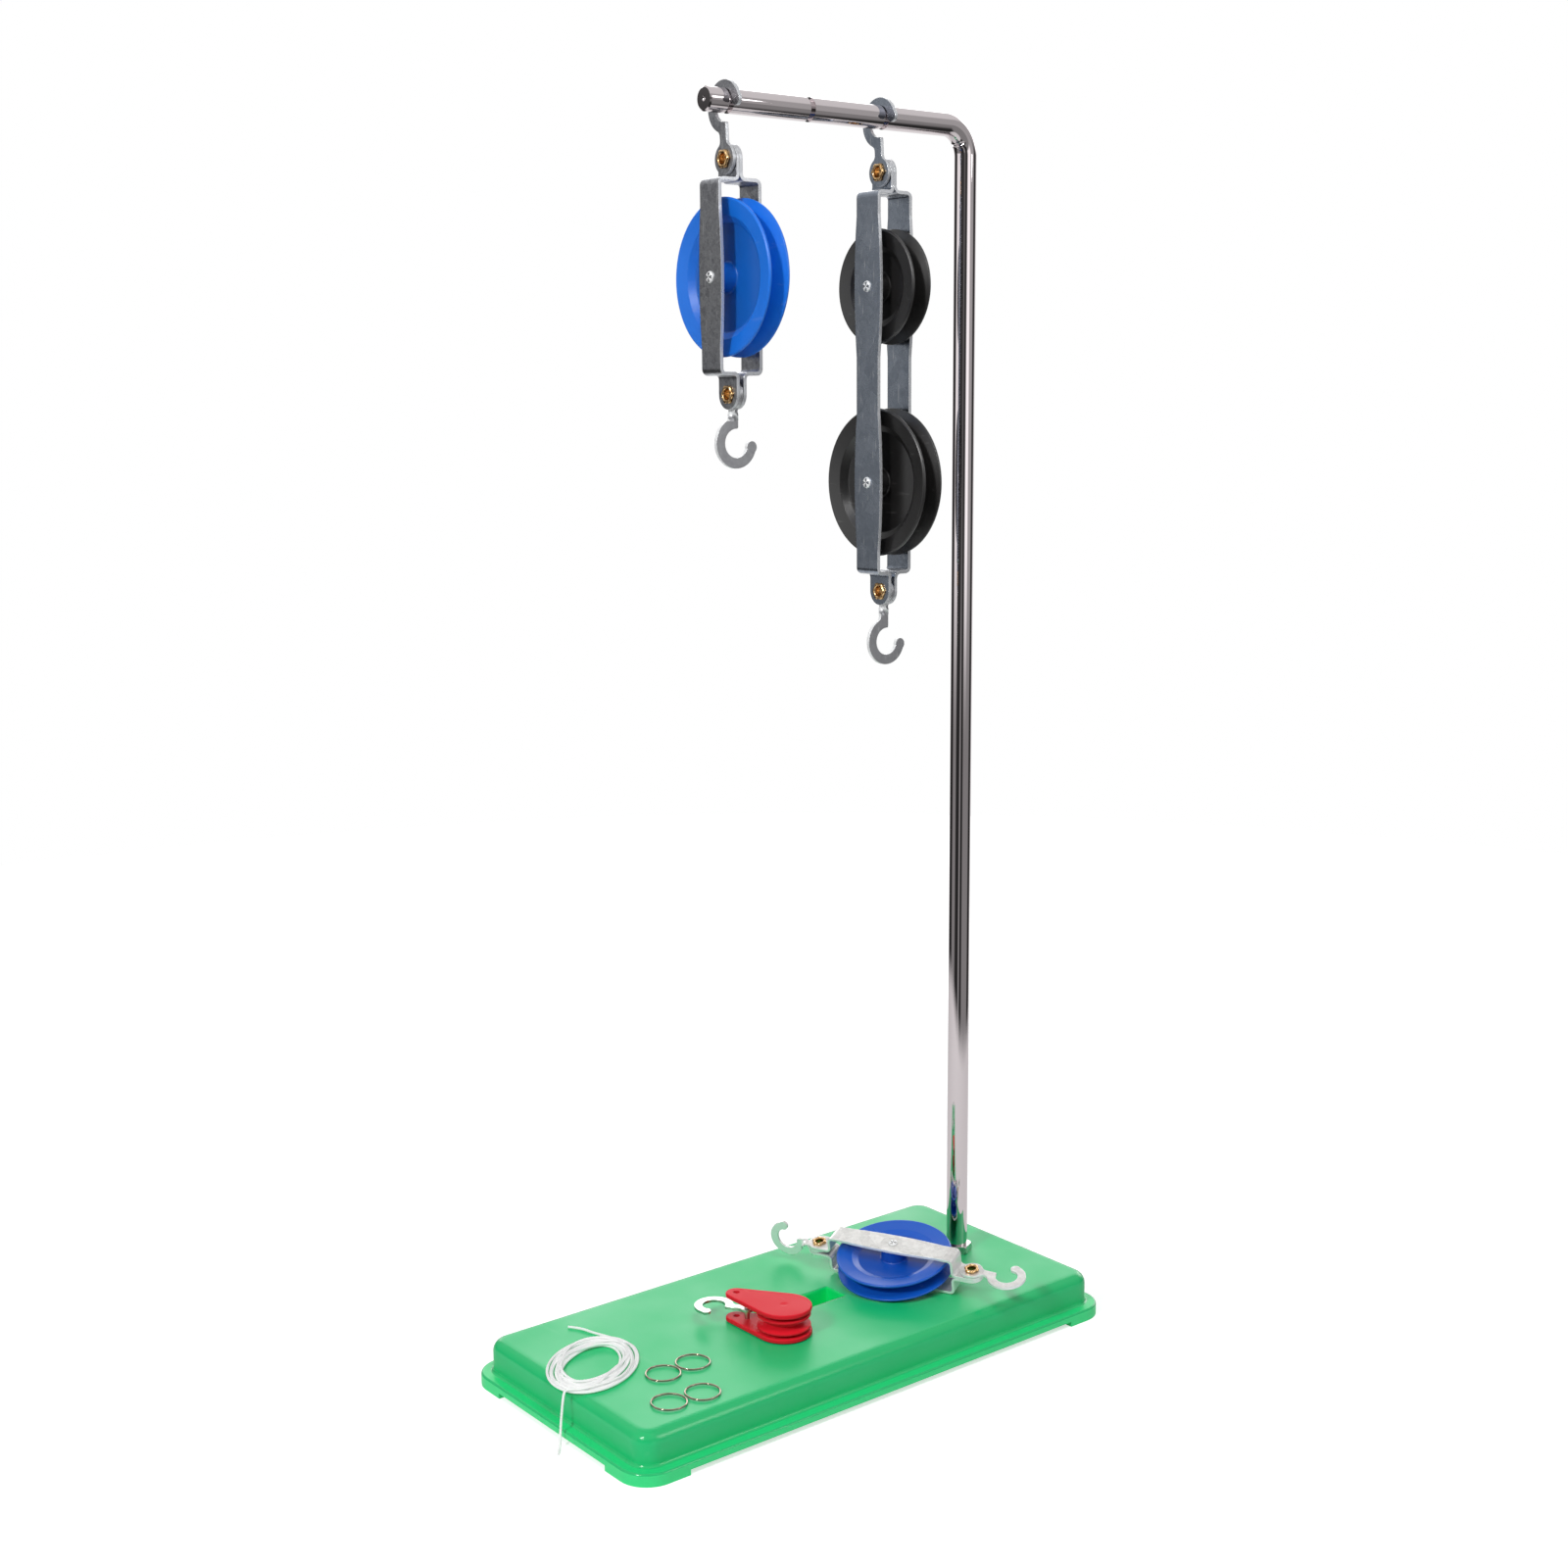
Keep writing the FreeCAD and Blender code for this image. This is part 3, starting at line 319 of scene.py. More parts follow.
def zinc_plated(name, colour, dark, mottle_mm, contrast, roughness, scratches, across=None,
                metal=1.0, sheared=BRIGHT):
    """Zinc plating on blanked steel sheet: a cool grey metal, cloudy in patches the size of its
    spangles, with a few drag lines. Its edges were tumbled round and are painted bright: painted
    highlight, partly fresh zinc. across is the direction square to the sheet: the sheared sides,
    turned away from it, are painted in the colour of sheared, partly a frosted finish and partly
    painted highlight. metal is less than 1 where the plating has a thin white bloom."""
    spangle_mm, spangle_share = 2.2 * mottle_mm, 0.3
    drag_mm, edge_radius, relief = 1.1, 0.4 * MM, 0.03 * MM
    frosted = 0.35              # of metal on the sheared sides
    material, tree, place = begin(name)
    spangle = add(tree, "ShaderNodeTexVoronoi", inputs={
        "Vector": place, "Scale": per(spangle_mm)}).outputs["Color"]
    mottle = add(tree, "ShaderNodeTexNoise", inputs={"Vector": place, "Scale": per(mottle_mm),
                                                     "Detail": 5.0, "Roughness": 0.65}).outputs[0]
    cloudy = add(tree, "ShaderNodeMix", {"data_type": "FLOAT"},
                 {"Factor": spangle_share, "A": mottle, "B": spangle}).outputs[0]
    patches = add(tree, "ShaderNodeMapRange", inputs={
        "Value": cloudy, "From Min": 0.5 - contrast, "From Max": 0.5 + contrast}).outputs[0]
    paint = add(tree, "ShaderNodeMix", {"data_type": "RGBA"},
                {"Factor": patches, "A": dark, "B": colour}).outputs["Result"]
    drag = lines(tree, place, rotation=(0.5, 0.1, 0.3), scale=(1.0, 1.0, 0.1),
                 millimetres=drag_mm, detail=3.0, low=0.64, high=0.72, strength=scratches)
    rounded = add(tree, "ShaderNodeBevel", {"samples": 4}, {"Radius": edge_radius}).outputs[0]
    flat = add(tree, "ShaderNodeNewGeometry").outputs["True Normal"]
    bend = add(tree, "ShaderNodeVectorMath", {"operation": "DOT_PRODUCT"},
               {0: rounded, 1: flat}).outputs["Value"]
    edge = add(tree, "ShaderNodeMapRange", inputs={"Value": bend, "From Min": 0.96,
                                                   "From Max": 0.82}).outputs[0]
    drag_and_edge_highlight = add(tree, "ShaderNodeMath", {"operation": "MAXIMUM"}, {0: edge, 1: drag}).outputs[0]
    metallic = metal
    if across is not None:
        square = add(tree, "ShaderNodeVectorMath", {"operation": "DOT_PRODUCT"},
                     {0: place.node.outputs["Normal"], 1: across}).outputs["Value"]
        size = add(tree, "ShaderNodeMath", {"operation": "ABSOLUTE"}, {0: square}).outputs[0]
        side = add(tree, "ShaderNodeMapRange", inputs={"Value": size, "From Min": 0.75,
                                                       "From Max": 0.35}).outputs[0]
        # the sheared sides are painted pale: partly a frosted finish, partly painted highlight
        paint = add(tree, "ShaderNodeMix", {"data_type": "RGBA"},
                    {"Factor": side, "A": paint, "B": sheared}).outputs["Result"]
        metallic = add(tree, "ShaderNodeMapRange", inputs={"Value": side, "To Min": metal,
                                                           "To Max": frosted * metal}).outputs[0]
    # the drag lines are real scratches; the rounded edges painted BRIGHT are painted highlight,
    # partly fresh zinc
    paint = add(tree, "ShaderNodeMix", {"data_type": "RGBA"},
                {"Factor": drag_and_edge_highlight, "A": paint, "B": BRIGHT}).outputs["Result"]
    rough = add(tree, "ShaderNodeMapRange", inputs={"Value": patches, "To Min": roughness * 1.15,
                                                    "To Max": roughness * 0.85}).outputs[0]
    close(tree, {"Base Color": paint, "Metallic": metallic, "Roughness": rough}, cloudy, relief,
          rounded)
    return material


def drawn_brass(name, colour, tarnished, share, roughness):
    """Brass drawn into a thin eyelet: pale and bright where it is rubbed, brown where it is
    tarnished. share is how much of it is tarnished."""
    tarnish_mm, blend, relief = 1.3, 0.12, 0.02 * MM
    material, tree, place = begin(name)
    tarnish = add(tree, "ShaderNodeTexNoise", inputs={"Vector": place, "Scale": per(tarnish_mm),
                                                      "Detail": 3.0}).outputs[0]
    rubbed = add(tree, "ShaderNodeMapRange", inputs={"Value": tarnish, "From Min": share - blend,
                                                     "From Max": share + blend}).outputs[0]
    paint = add(tree, "ShaderNodeMix", {"data_type": "RGBA"},
                {"Factor": rubbed, "A": tarnished, "B": colour}).outputs["Result"]
    rough = add(tree, "ShaderNodeMapRange", inputs={"Value": rubbed, "To Min": roughness * 1.5,
                                                    "To Max": roughness}).outputs[0]
    close(tree, {"Base Color": paint, "Metallic": 1.0, "Roughness": rough}, tarnish, relief)
    return material


def drawn_wire(name, colour):
    """Drawn steel wire: half bright, with brown traces of its drawing soap."""
    soap_mm, relief, roughness = 3.0, 0.01 * MM, 0.1
    material, tree, place = begin(name)
    soap = add(tree, "ShaderNodeTexNoise", inputs={"Vector": place, "Scale": per(soap_mm),
                                                   "Detail": 3.0}).outputs[0]
    paint = add(tree, "ShaderNodeMix", {"data_type": "RGBA"},
                {"Factor": soap, "A": linear("#5E5242"), "B": colour}).outputs["Result"]
    close(tree, {"Base Color": paint, "Metallic": 1.0, "Roughness": roughness}, soap, relief)
    return material


def cotton(name, colour):
    """Bleached cotton string: white and matt, with single fibres a little greyer and lifted, and a
    faint bluish emission, partly for its optical brightener and partly painted glow that lifts the
    shade between its turns. The fibres are drawn at 0.25 mm, some ten times their size, so that
    they show at all."""
    fibre_mm, relief, glow_depth = 0.25, 0.02 * MM, 1.6 * MM
    material, tree, place = begin(name)
    fibre = add(tree, "ShaderNodeTexNoise", inputs={"Vector": place, "Scale": per(fibre_mm),
                                                    "Detail": 2.0}).outputs[0]
    paint = add(tree, "ShaderNodeMix", {"data_type": "RGBA"},
                {"Factor": fibre, "A": linear("#F1F1EE"), "B": colour}).outputs["Result"]
    # the emission is painted glow: it lifts the shade between the turns
    close(tree, {"Base Color": paint, "Roughness": 0.85, "IOR": 1.45, "Subsurface Weight": 0.6,
                 "Subsurface Radius": (1.0, 1.0, 1.0), "Subsurface Scale": glow_depth,
                 "Sheen Weight": 0.7, "Sheen Roughness": 0.5,
                 "Emission Color": (0.94, 0.97, 1.0, 1.0), "Emission Strength": 0.15},
          fibre, relief)
    return material


# ------------------------------------------------------------------ stage
class PULLEY_OT_stage(bpy.types.Operator):
    """Makes the floor, the light and the camera"""

    bl_idname = "pulley.stage"
    bl_label = "Stage"

    # camera: where it stands, and its angles in degrees
    place = (-0.5708, -0.7052, 0.4207)
    heading = 38.64
    downward = 9.96
    roll = -0.37
    focal_share = 2147.4 / 1600     # focal length in widths of the picture
    sensor = 36.0
    seen_from, seen_to = 0.01, 50.0     # metres away

    floor_radius = 1.3
    floor_steps = 96
    floor_height = -0.1 * MM
    floor_white = 0.75              # of its paper
    floor_glow = (0.6, 1.0)         # for the camera, near the object and away from it
    mirrored_glow = 0.3             # for polished metal
    table_radius = 0.52             # of the floor that polished metal sees
    turns_white = 0.4               # of that radius, from where on the floor grows whiter
    fades = (0.85, 1.1)             # of that radius, where polished metal stops seeing it
    table_centre = Vector((0.08, 0.1, 0.0))
    soft_light = 0.3                # of the world, on what isn't polished
    aim = Vector((0.0, 0.0, 0.3))   # of the lamps

    # The studio as polished metal sees it, large plain panels in a dim room: name, degrees about +Z
    # from +X to the panel's middle, half its width, and its brightness where it is below the
    # object, level with it and above it.
    panels = (("Backdrop", 40, 40, (1.0, 1.0, 3.3)),
              ("Side of the backdrop", 155, 20, (0.3, 1.2, 0.8)),
              ("Window", -95, 15, (0.3, 1.5, 0.5)),
              ("White wall", -65, 25, (0.3, 0.5, 0.5)),
              ("Strip beside the camera", -140, 5, (0.5, 0.2, 0.5)))
    room = (0.03, 0.05, 0.5)
    soft = 5                        # degrees to either side of a panel's edge
    overhead = 0.85
    # sines of the angles above the horizon where one band gives way to the next
    below_to_level, level_to_above, above_to_overhead = (-0.16, -0.05), (0.12, 0.24), (0.46, 0.60)

    # name, degrees about +Z, degrees up, metres away, size, watts, whether it lights what is matt
    # and whether it is seen in what is glossy
    lamps = (("Key", -165, 30, 1.9, 0.24, 15.8, True, True),
             ("Fill", -107, 58, 1.9, 1.0, 14.0, True, False),
             ("Rim", -62, 22, 2.0, 0.7, 5.6, False, True),
             ("Glint", -90, 33, 2.0, 0.16, 0.5, False, True))

    def execute(self, context):
        self.make_camera(context)
        self.make_floor(context)
        self.make_world(context)
        self.make_lamps(context)
        context.scene.view_settings.view_transform = "Standard"
        return {"FINISHED"}

    def make_camera(self, context):
        data = bpy.data.cameras.new("Camera")
        data.sensor_width = self.sensor
        data.lens = self.sensor * self.focal_share
        data.clip_start = self.seen_from
        data.clip_end = self.seen_to
        camera = bpy.data.objects.new("Camera", data)
        context.scene.collection.objects.link(camera)
        turn = (Matrix.Rotation(-math.radians(self.heading), 3, "Z")
                @ Matrix.Rotation(math.radians(90 - self.downward), 3, "X")
                @ Matrix.Rotation(math.radians(self.roll), 3, "Z"))
        camera.rotation_euler = turn.to_euler()
        camera.location = self.place
        context.scene.camera = camera

    def make_floor(self, context):
        """A white sweep. The camera sees it white, polished metal only sees the part close by, as
        if the object stood on a white table, and it keeps its shadow."""
        angles = [TURN * i / self.floor_steps for i in range(self.floor_steps)]
        points = [(self.floor_radius * math.cos(a), self.floor_radius * math.sin(a),
                   self.floor_height) for a in angles]
        mesh = mesh_from("Floor", points, [range(len(points))], soft=False)
        floor = bpy.data.objects.new("Floor", mesh)
        context.scene.collection.objects.link(floor)
        material, tree, place = begin("White paper sweep")
        rays = add(tree, "ShaderNodeLightPath").outputs
        away = add(tree, "ShaderNodeVectorMath", {"operation": "DISTANCE"},
                   {0: place, 1: self.table_centre}).outputs["Value"]
        white = add(tree, "ShaderNodeMapRange", {"interpolation_type": "SMOOTHSTEP"},
                    {"Value": away, "From Min": self.table_radius * self.turns_white,
                     "From Max": self.table_radius, "To Min": self.floor_glow[0],
                     "To Max": self.floor_glow[1]}).outputs[0]
        mirrored = add(tree, "ShaderNodeMath", {"operation": "MULTIPLY"},
                       {0: rays["Is Glossy Ray"], 1: self.mirrored_glow}).outputs[0]
        glow = add(tree, "ShaderNodeMath", {"operation": "MULTIPLY_ADD"},
                   {0: rays["Is Camera Ray"], 1: white, 2: mirrored}).outputs[0]
        paper = add(tree, "ShaderNodeBsdfDiffuse", inputs={"Color": (*[self.floor_white] * 3, 1.0)})
        light = add(tree, "ShaderNodeEmission", inputs={"Strength": glow})
        both = add(tree, "ShaderNodeAddShader", inputs={0: paper.outputs[0], 1: light.outputs[0]})
        far = add(tree, "ShaderNodeMapRange", {"interpolation_type": "SMOOTHSTEP"},
                  {"Value": away, "From Min": self.table_radius * self.fades[0],
                   "From Max": self.table_radius * self.fades[1]}).outputs[0]
        gone = add(tree, "ShaderNodeMath", {"operation": "MULTIPLY"},
                   {0: far, 1: rays["Is Glossy Ray"]}).outputs[0]
        clear = add(tree, "ShaderNodeBsdfTransparent")
        sweep = add(tree, "ShaderNodeMixShader",
                    inputs={0: gone, 1: both.outputs[0], 2: clear.outputs[0]})
        add(tree, "ShaderNodeOutputMaterial", inputs={"Surface": sweep.outputs[0]})
        floor.data.materials.append(material)

    def make_world(self, context):
        """White to the camera, soft white light on the object, and the studio's walls in metal."""
        world = bpy.data.worlds.new("Studio")
        context.scene.world = world
        world.use_nodes = True
        tree = world.node_tree
        tree.nodes.clear()
        ways = add(tree, "ShaderNodeTexCoord").outputs["Generated"]
        parts = add(tree, "ShaderNodeSeparateXYZ", inputs={0: ways}).outputs
        angle = add(tree, "ShaderNodeMath", {"operation": "ARCTAN2"},
                    {0: parts["Y"], 1: parts["X"]})
        share = add(tree, "ShaderNodeMapRange", inputs={
            "Value": angle.outputs[0], "From Min": -math.pi, "From Max": math.pi}).outputs[0]

        def walls(band):
            """The brightness all round, in one band of heights."""
            ramp = add(tree, "ShaderNodeValToRGB", inputs={0: share})
            elements = ramp.color_ramp.elements
            elements.remove(elements[1])
            edges = {middle + side * (half + soft) for _, middle, half, _ in self.panels
                     for side in (-1, 1) for soft in (-self.soft, self.soft)}
            for i, degrees in enumerate(sorted(edges)):
                shares = [bright[band] * min(max(
                    (half + self.soft - abs(degrees - middle)) / (2 * self.soft), 0.0), 1.0)
                    for _, middle, half, bright in self.panels]
                level = max(self.room[band], *shares)
                stop = elements[0] if i == 0 else elements.new((degrees + 180) / 360)
                stop.position = (degrees + 180) / 360
                stop.color = (level, level, level, 1.0)
            return ramp.outputs[0]

        def rise(sines, under, over):
            height = add(tree, "ShaderNodeMapRange", {"interpolation_type": "SMOOTHSTEP"},
                         {"Value": parts["Z"], "From Min": sines[0], "From Max": sines[1]})
            return add(tree, "ShaderNodeMix", {"data_type": "FLOAT"},
                       {"Factor": height.outputs[0], "A": under, "B": over}).outputs[0]

        below, level, above = (walls(band) for band in range(len(self.room)))
        seen = rise(self.below_to_level, below, level)
        seen = rise(self.level_to_above, seen, above)
        seen = rise(self.above_to_overhead, seen, self.overhead)
        rays = add(tree, "ShaderNodeLightPath").outputs
        light = add(tree, "ShaderNodeMix", {"data_type": "FLOAT"},
                    {"Factor": rays["Is Glossy Ray"], "A": self.soft_light, "B": seen})
        level = add(tree, "ShaderNodeMix", {"data_type": "FLOAT"},
                    {"Factor": rays["Is Camera Ray"], "A": light.outputs[0], "B": 1.0})
        sky = add(tree, "ShaderNodeBackground", inputs={"Color": (1.0, 1.0, 1.0, 1.0),
                                                        "Strength": level.outputs[0]})
        add(tree, "ShaderNodeOutputWorld", inputs={"Surface": sky.outputs[0]})

    def make_lamps(self, context):
        """A lamp at the left, a large soft one over the front, and two that only leave their gloss
        on edges and corners."""
        for name, turn, up, away, size, power, matt, gloss in self.lamps:
            data = bpy.data.lights.new(name, "AREA")
            data.shape = "DISK"
            data.size = size
            data.energy = power
            lamp = bpy.data.objects.new(name, data)
            context.scene.collection.objects.link(lamp)
            turn, up = math.radians(turn), math.radians(up)
            ray = Vector((math.cos(turn) * math.cos(up), math.sin(turn) * math.cos(up),
                          math.sin(up)))
            lamp.location = self.aim + ray * away
            lamp.rotation_euler = ray.to_track_quat("Z", "Y").to_euler()
            lamp.visible_diffuse = matt
            lamp.visible_glossy = gloss


# ------------------------------------------------------------------ string
class PULLEY_OT_string(bpy.types.Operator):
    """Winds the string: its end on the base, the coil, and the tail over the base's edge"""

    bl_idname = "pulley.string"
    bl_label = "String"

    # millimetres and degrees: the coil as the CAD's oval column has it
    centre = Vector((-109.0, 6.5))
    heading = 51.3
    outer = (29.5, 20.5)
    inner = (17.5, 11.0)
    floor = 20.0
    end_route = ((-91.2, 33.0, 20.7), (-91.9, 37.4, 20.7), (-93.6, 41.4, 20.7), (-96.2, 45.0, 20.7))
    tail_route = ((-132.6, -8.6, 22.2), (-134.6, -10.3, 19.8), (-136.0, -11.2, 14.0),
                  (-137.0, -11.7, 8.0), (-138.4, -13.2, 2.4), (-140.4, -15.8, 0.7),
                  (-142.9, -18.7, 0.65))
    # from the tail into the upper layer, along the oval, across it and up, from its centre
    entry = ((-26.8, 5.2, 22.35), (-26.2, 1.2, 22.3))

    # how it is laid, in millimetres where nothing else is said
    points_a_turn = 16
    upper_turns = 3
    upper_shares = (0.8, 0.38, 0.1)     # of the band's width, for the upper turns
    descent = 0.3                       # turns in which it comes down from the upper layer
    lift = 0.06                         # above the base
    layer_rise = 0.95                   # string diameters from layer to layer
    edge_play = 0.15                    # to the band's edges
    snug = 0.98                         # share of its size that the oval keeps
    past_edge = 0.6                     # most that a turn strays past the band's outer edge
    ripple = (0.35, 5.3)                # height, and how fast it comes and goes
    stray = (0.45, 1.15)                # from the oval, and how much more in the upper layer
    slack = (0.16, 0.11, 260)           # of inner turns, less for outer ones, and its direction
    bulge = (3.2, 0.55, -22)            # of the last turns, the share where it starts, direction
    step = 0.5                          # between the sections of its mesh
    section_points = 12                 # round its section
    plies = 3
    ply_depth = 0.08                    # of the valleys between its plies, in radii

    def on_base(self, along, across):
        """A point of the base from the oval's own two directions."""
        turn = math.radians(self.heading)
        return (self.centre.x + along * math.cos(turn) - across * math.sin(turn),
                self.centre.y + along * math.sin(turn) + across * math.cos(turn))

    def halves(self, turn, angle, share, on_top, margin):
        """Half the oval's length and width in millimetres at a point of the coil. It strays by two
        waves that don't repeat from turn to turn."""
        stray = self.stray[0] + self.stray[1] * on_top
        sway = stray * (math.sin(2 * angle + 2.1 * turn) + 0.6 * math.sin(3 * angle - 1.3 * turn))
        most, less, direction = self.slack
        slack = (most - less * share) * math.cos(2 * angle - math.radians(direction))
        reach, start, direction = self.bulge
        bulge = reach * max(share - start, 0.0)
        bulge *= max(math.cos(angle - math.radians(direction)), 0.0) ** 6
        for inner, outer in zip(self.inner, self.outer):
            half = (inner + margin + (outer - inner - 2 * margin) * share) * (self.snug + slack)
            yield min(half + sway, outer + self.past_edge) + bulge

    def route(self, sizes):
        """Every point of the string in millimetres, from its end on the base to its tail."""
        thick = sizes.string / MM
        lower = self.floor + thick / 2 + self.lift
        upper = lower + thick * self.layer_rise
        points = list(reversed(self.tail_route))
        points += [(*self.on_base(along, across), height) for along, across, height in self.entry]
        # shares of the band's width, from its inner edge, at the start of each turn
        shares = list(self.upper_shares)
        shares += [i / (sizes.turns - 0.5) for i in range(sizes.turns)] + [1.0]
        count = self.points_a_turn
        total = (self.upper_turns + sizes.turns) * count - count // 2
        for i in range(2, total - 1):
            turn = i / count
            k = int(turn)
            share = shares[k] + (shares[k + 1] - shares[k]) * (turn - k)
            angle = math.pi + TURN * turn
            on_top = min(max((self.upper_turns - turn) / self.descent, 0.0), 1.0)
            high, pace = self.ripple
            height = (lower + (upper - lower) * on_top
                      + high * (0.5 + 0.5 * math.sin(pace * turn)))
            along, across = self.halves(turn, angle, share, on_top, thick / 2 + self.edge_play)
            place = self.on_base(along * math.cos(angle), across * math.sin(angle))
            points.append((*place, height))
        return list(reversed(points + list(self.end_route)))

    def line(self, points):
        """The smooth line through the route, as close points in metres."""
        data = bpy.data.curves.new("string_route", "CURVE")
        data.dimensions = "3D"
        data.resolution_u = 8
        spline = data.splines.new("NURBS")
        spline.points.add(len(points) - 1)
        for point, place in zip(spline.points, points):
            point.co = (*(c * MM for c in place), 1.0)
        spline.order_u = 3
        spline.use_endpoint_u = True
        holder = bpy.data.objects.new("string_route", data)
        bpy.context.scene.collection.objects.link(holder)
        bpy.context.view_layer.update()
        mesh = bpy.data.meshes.new_from_object(holder)
        bpy.data.objects.remove(holder)
        return mesh

    def twist_tree(self):
        """Sweeps a three-ply section along a line and turns it once in each lay."""
        tree, start, end = geometry_tree("Three-ply string", (
            ("Geometry", "Geometry"), ("Diameter", "Float"), ("Lay", "Float"), ("Step", "Float"),
            ("Ply Depth", "Float"), ("Material", "Material")))
        line = add(tree, "GeometryNodeMeshToCurve", inputs={0: start["Geometry"]})
        even = add(tree, "GeometryNodeResampleCurve", {"mode": "LENGTH"},
                   {"Curve": line.outputs[0], "Length": start["Step"]})
        far = add(tree, "GeometryNodeSplineParameter").outputs["Length"]
        turns = add(tree, "ShaderNodeMath", {"operation": "DIVIDE"}, {0: far, 1: start["Lay"]})
        tilt = add(tree, "ShaderNodeMath", {"operation": "MULTIPLY"},
                   {0: turns.outputs[0], 1: TURN})
        twisted = add(tree, "GeometryNodeSetCurveTilt",
                      inputs={"Curve": even.outputs[0], "Tilt": tilt.outputs[0]})
        radius = add(tree, "ShaderNodeMath", {"operation": "MULTIPLY"},
                     {0: start["Diameter"], 1: 0.5})
        ring = add(tree, "GeometryNodeCurvePrimitiveCircle", {"mode": "RADIUS"},
                   {"Resolution": self.section_points, "Radius": radius.outputs[0]})
        share = add(tree, "GeometryNodeSplineParameter").outputs["Factor"]
        angle = add(tree, "ShaderNodeMath", {"operation": "MULTIPLY"},
                    {0: share, 1: self.plies * TURN})
        wave = add(tree, "ShaderNodeMath", {"operation": "COSINE"}, {0: angle.outputs[0]})
        dip = add(tree, "ShaderNodeMapRange", inputs={
            "Value": wave.outputs[0], "From Min": -1.0, "From Max": 1.0,
            "To Min": start["Ply Depth"], "To Max": 0.0})
        shrink = add(tree, "ShaderNodeMath", {"operation": "SUBTRACT"}, {0: 1.0, 1: dip.outputs[0]})
        spot = add(tree, "GeometryNodeInputPosition").outputs[0]
        ply = add(tree, "ShaderNodeVectorMath", {"operation": "SCALE"},
                  {0: spot, "Scale": shrink.outputs[0]}).outputs[0]
        section = add(tree, "GeometryNodeSetPosition",
                      inputs={"Geometry": ring.outputs[0], "Position": ply})
        swept = add(tree, "GeometryNodeCurveToMesh", inputs={
            "Curve": twisted.outputs[0], "Profile Curve": section.outputs[0], "Fill Caps": True})
        return end(swept.outputs[0])

    def execute(self, context):
        sizes = context.scene.pulley_sizes
        material = cotton("Bleached cotton string", context.scene.pulley_colours.string)
        line = self.line(self.route(sizes))
        path = [v.co.copy() for v in line.vertices]
        length = sum((b - a).length for a, b in zip(path, path[1:]))
        mesh = grown(self.twist_tree(), "string", {
            "Diameter": sizes.string, "Lay": sizes.lay, "Step": self.step * MM,
            "Ply Depth": self.ply_depth, "Material": material}, line)
        mesh.shade_smooth()
        string = piece("string", mesh, None, "base")
        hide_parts("string_coil", "string_tail", "string_end")
        tuple(path[0])
        return {"FINISHED"}


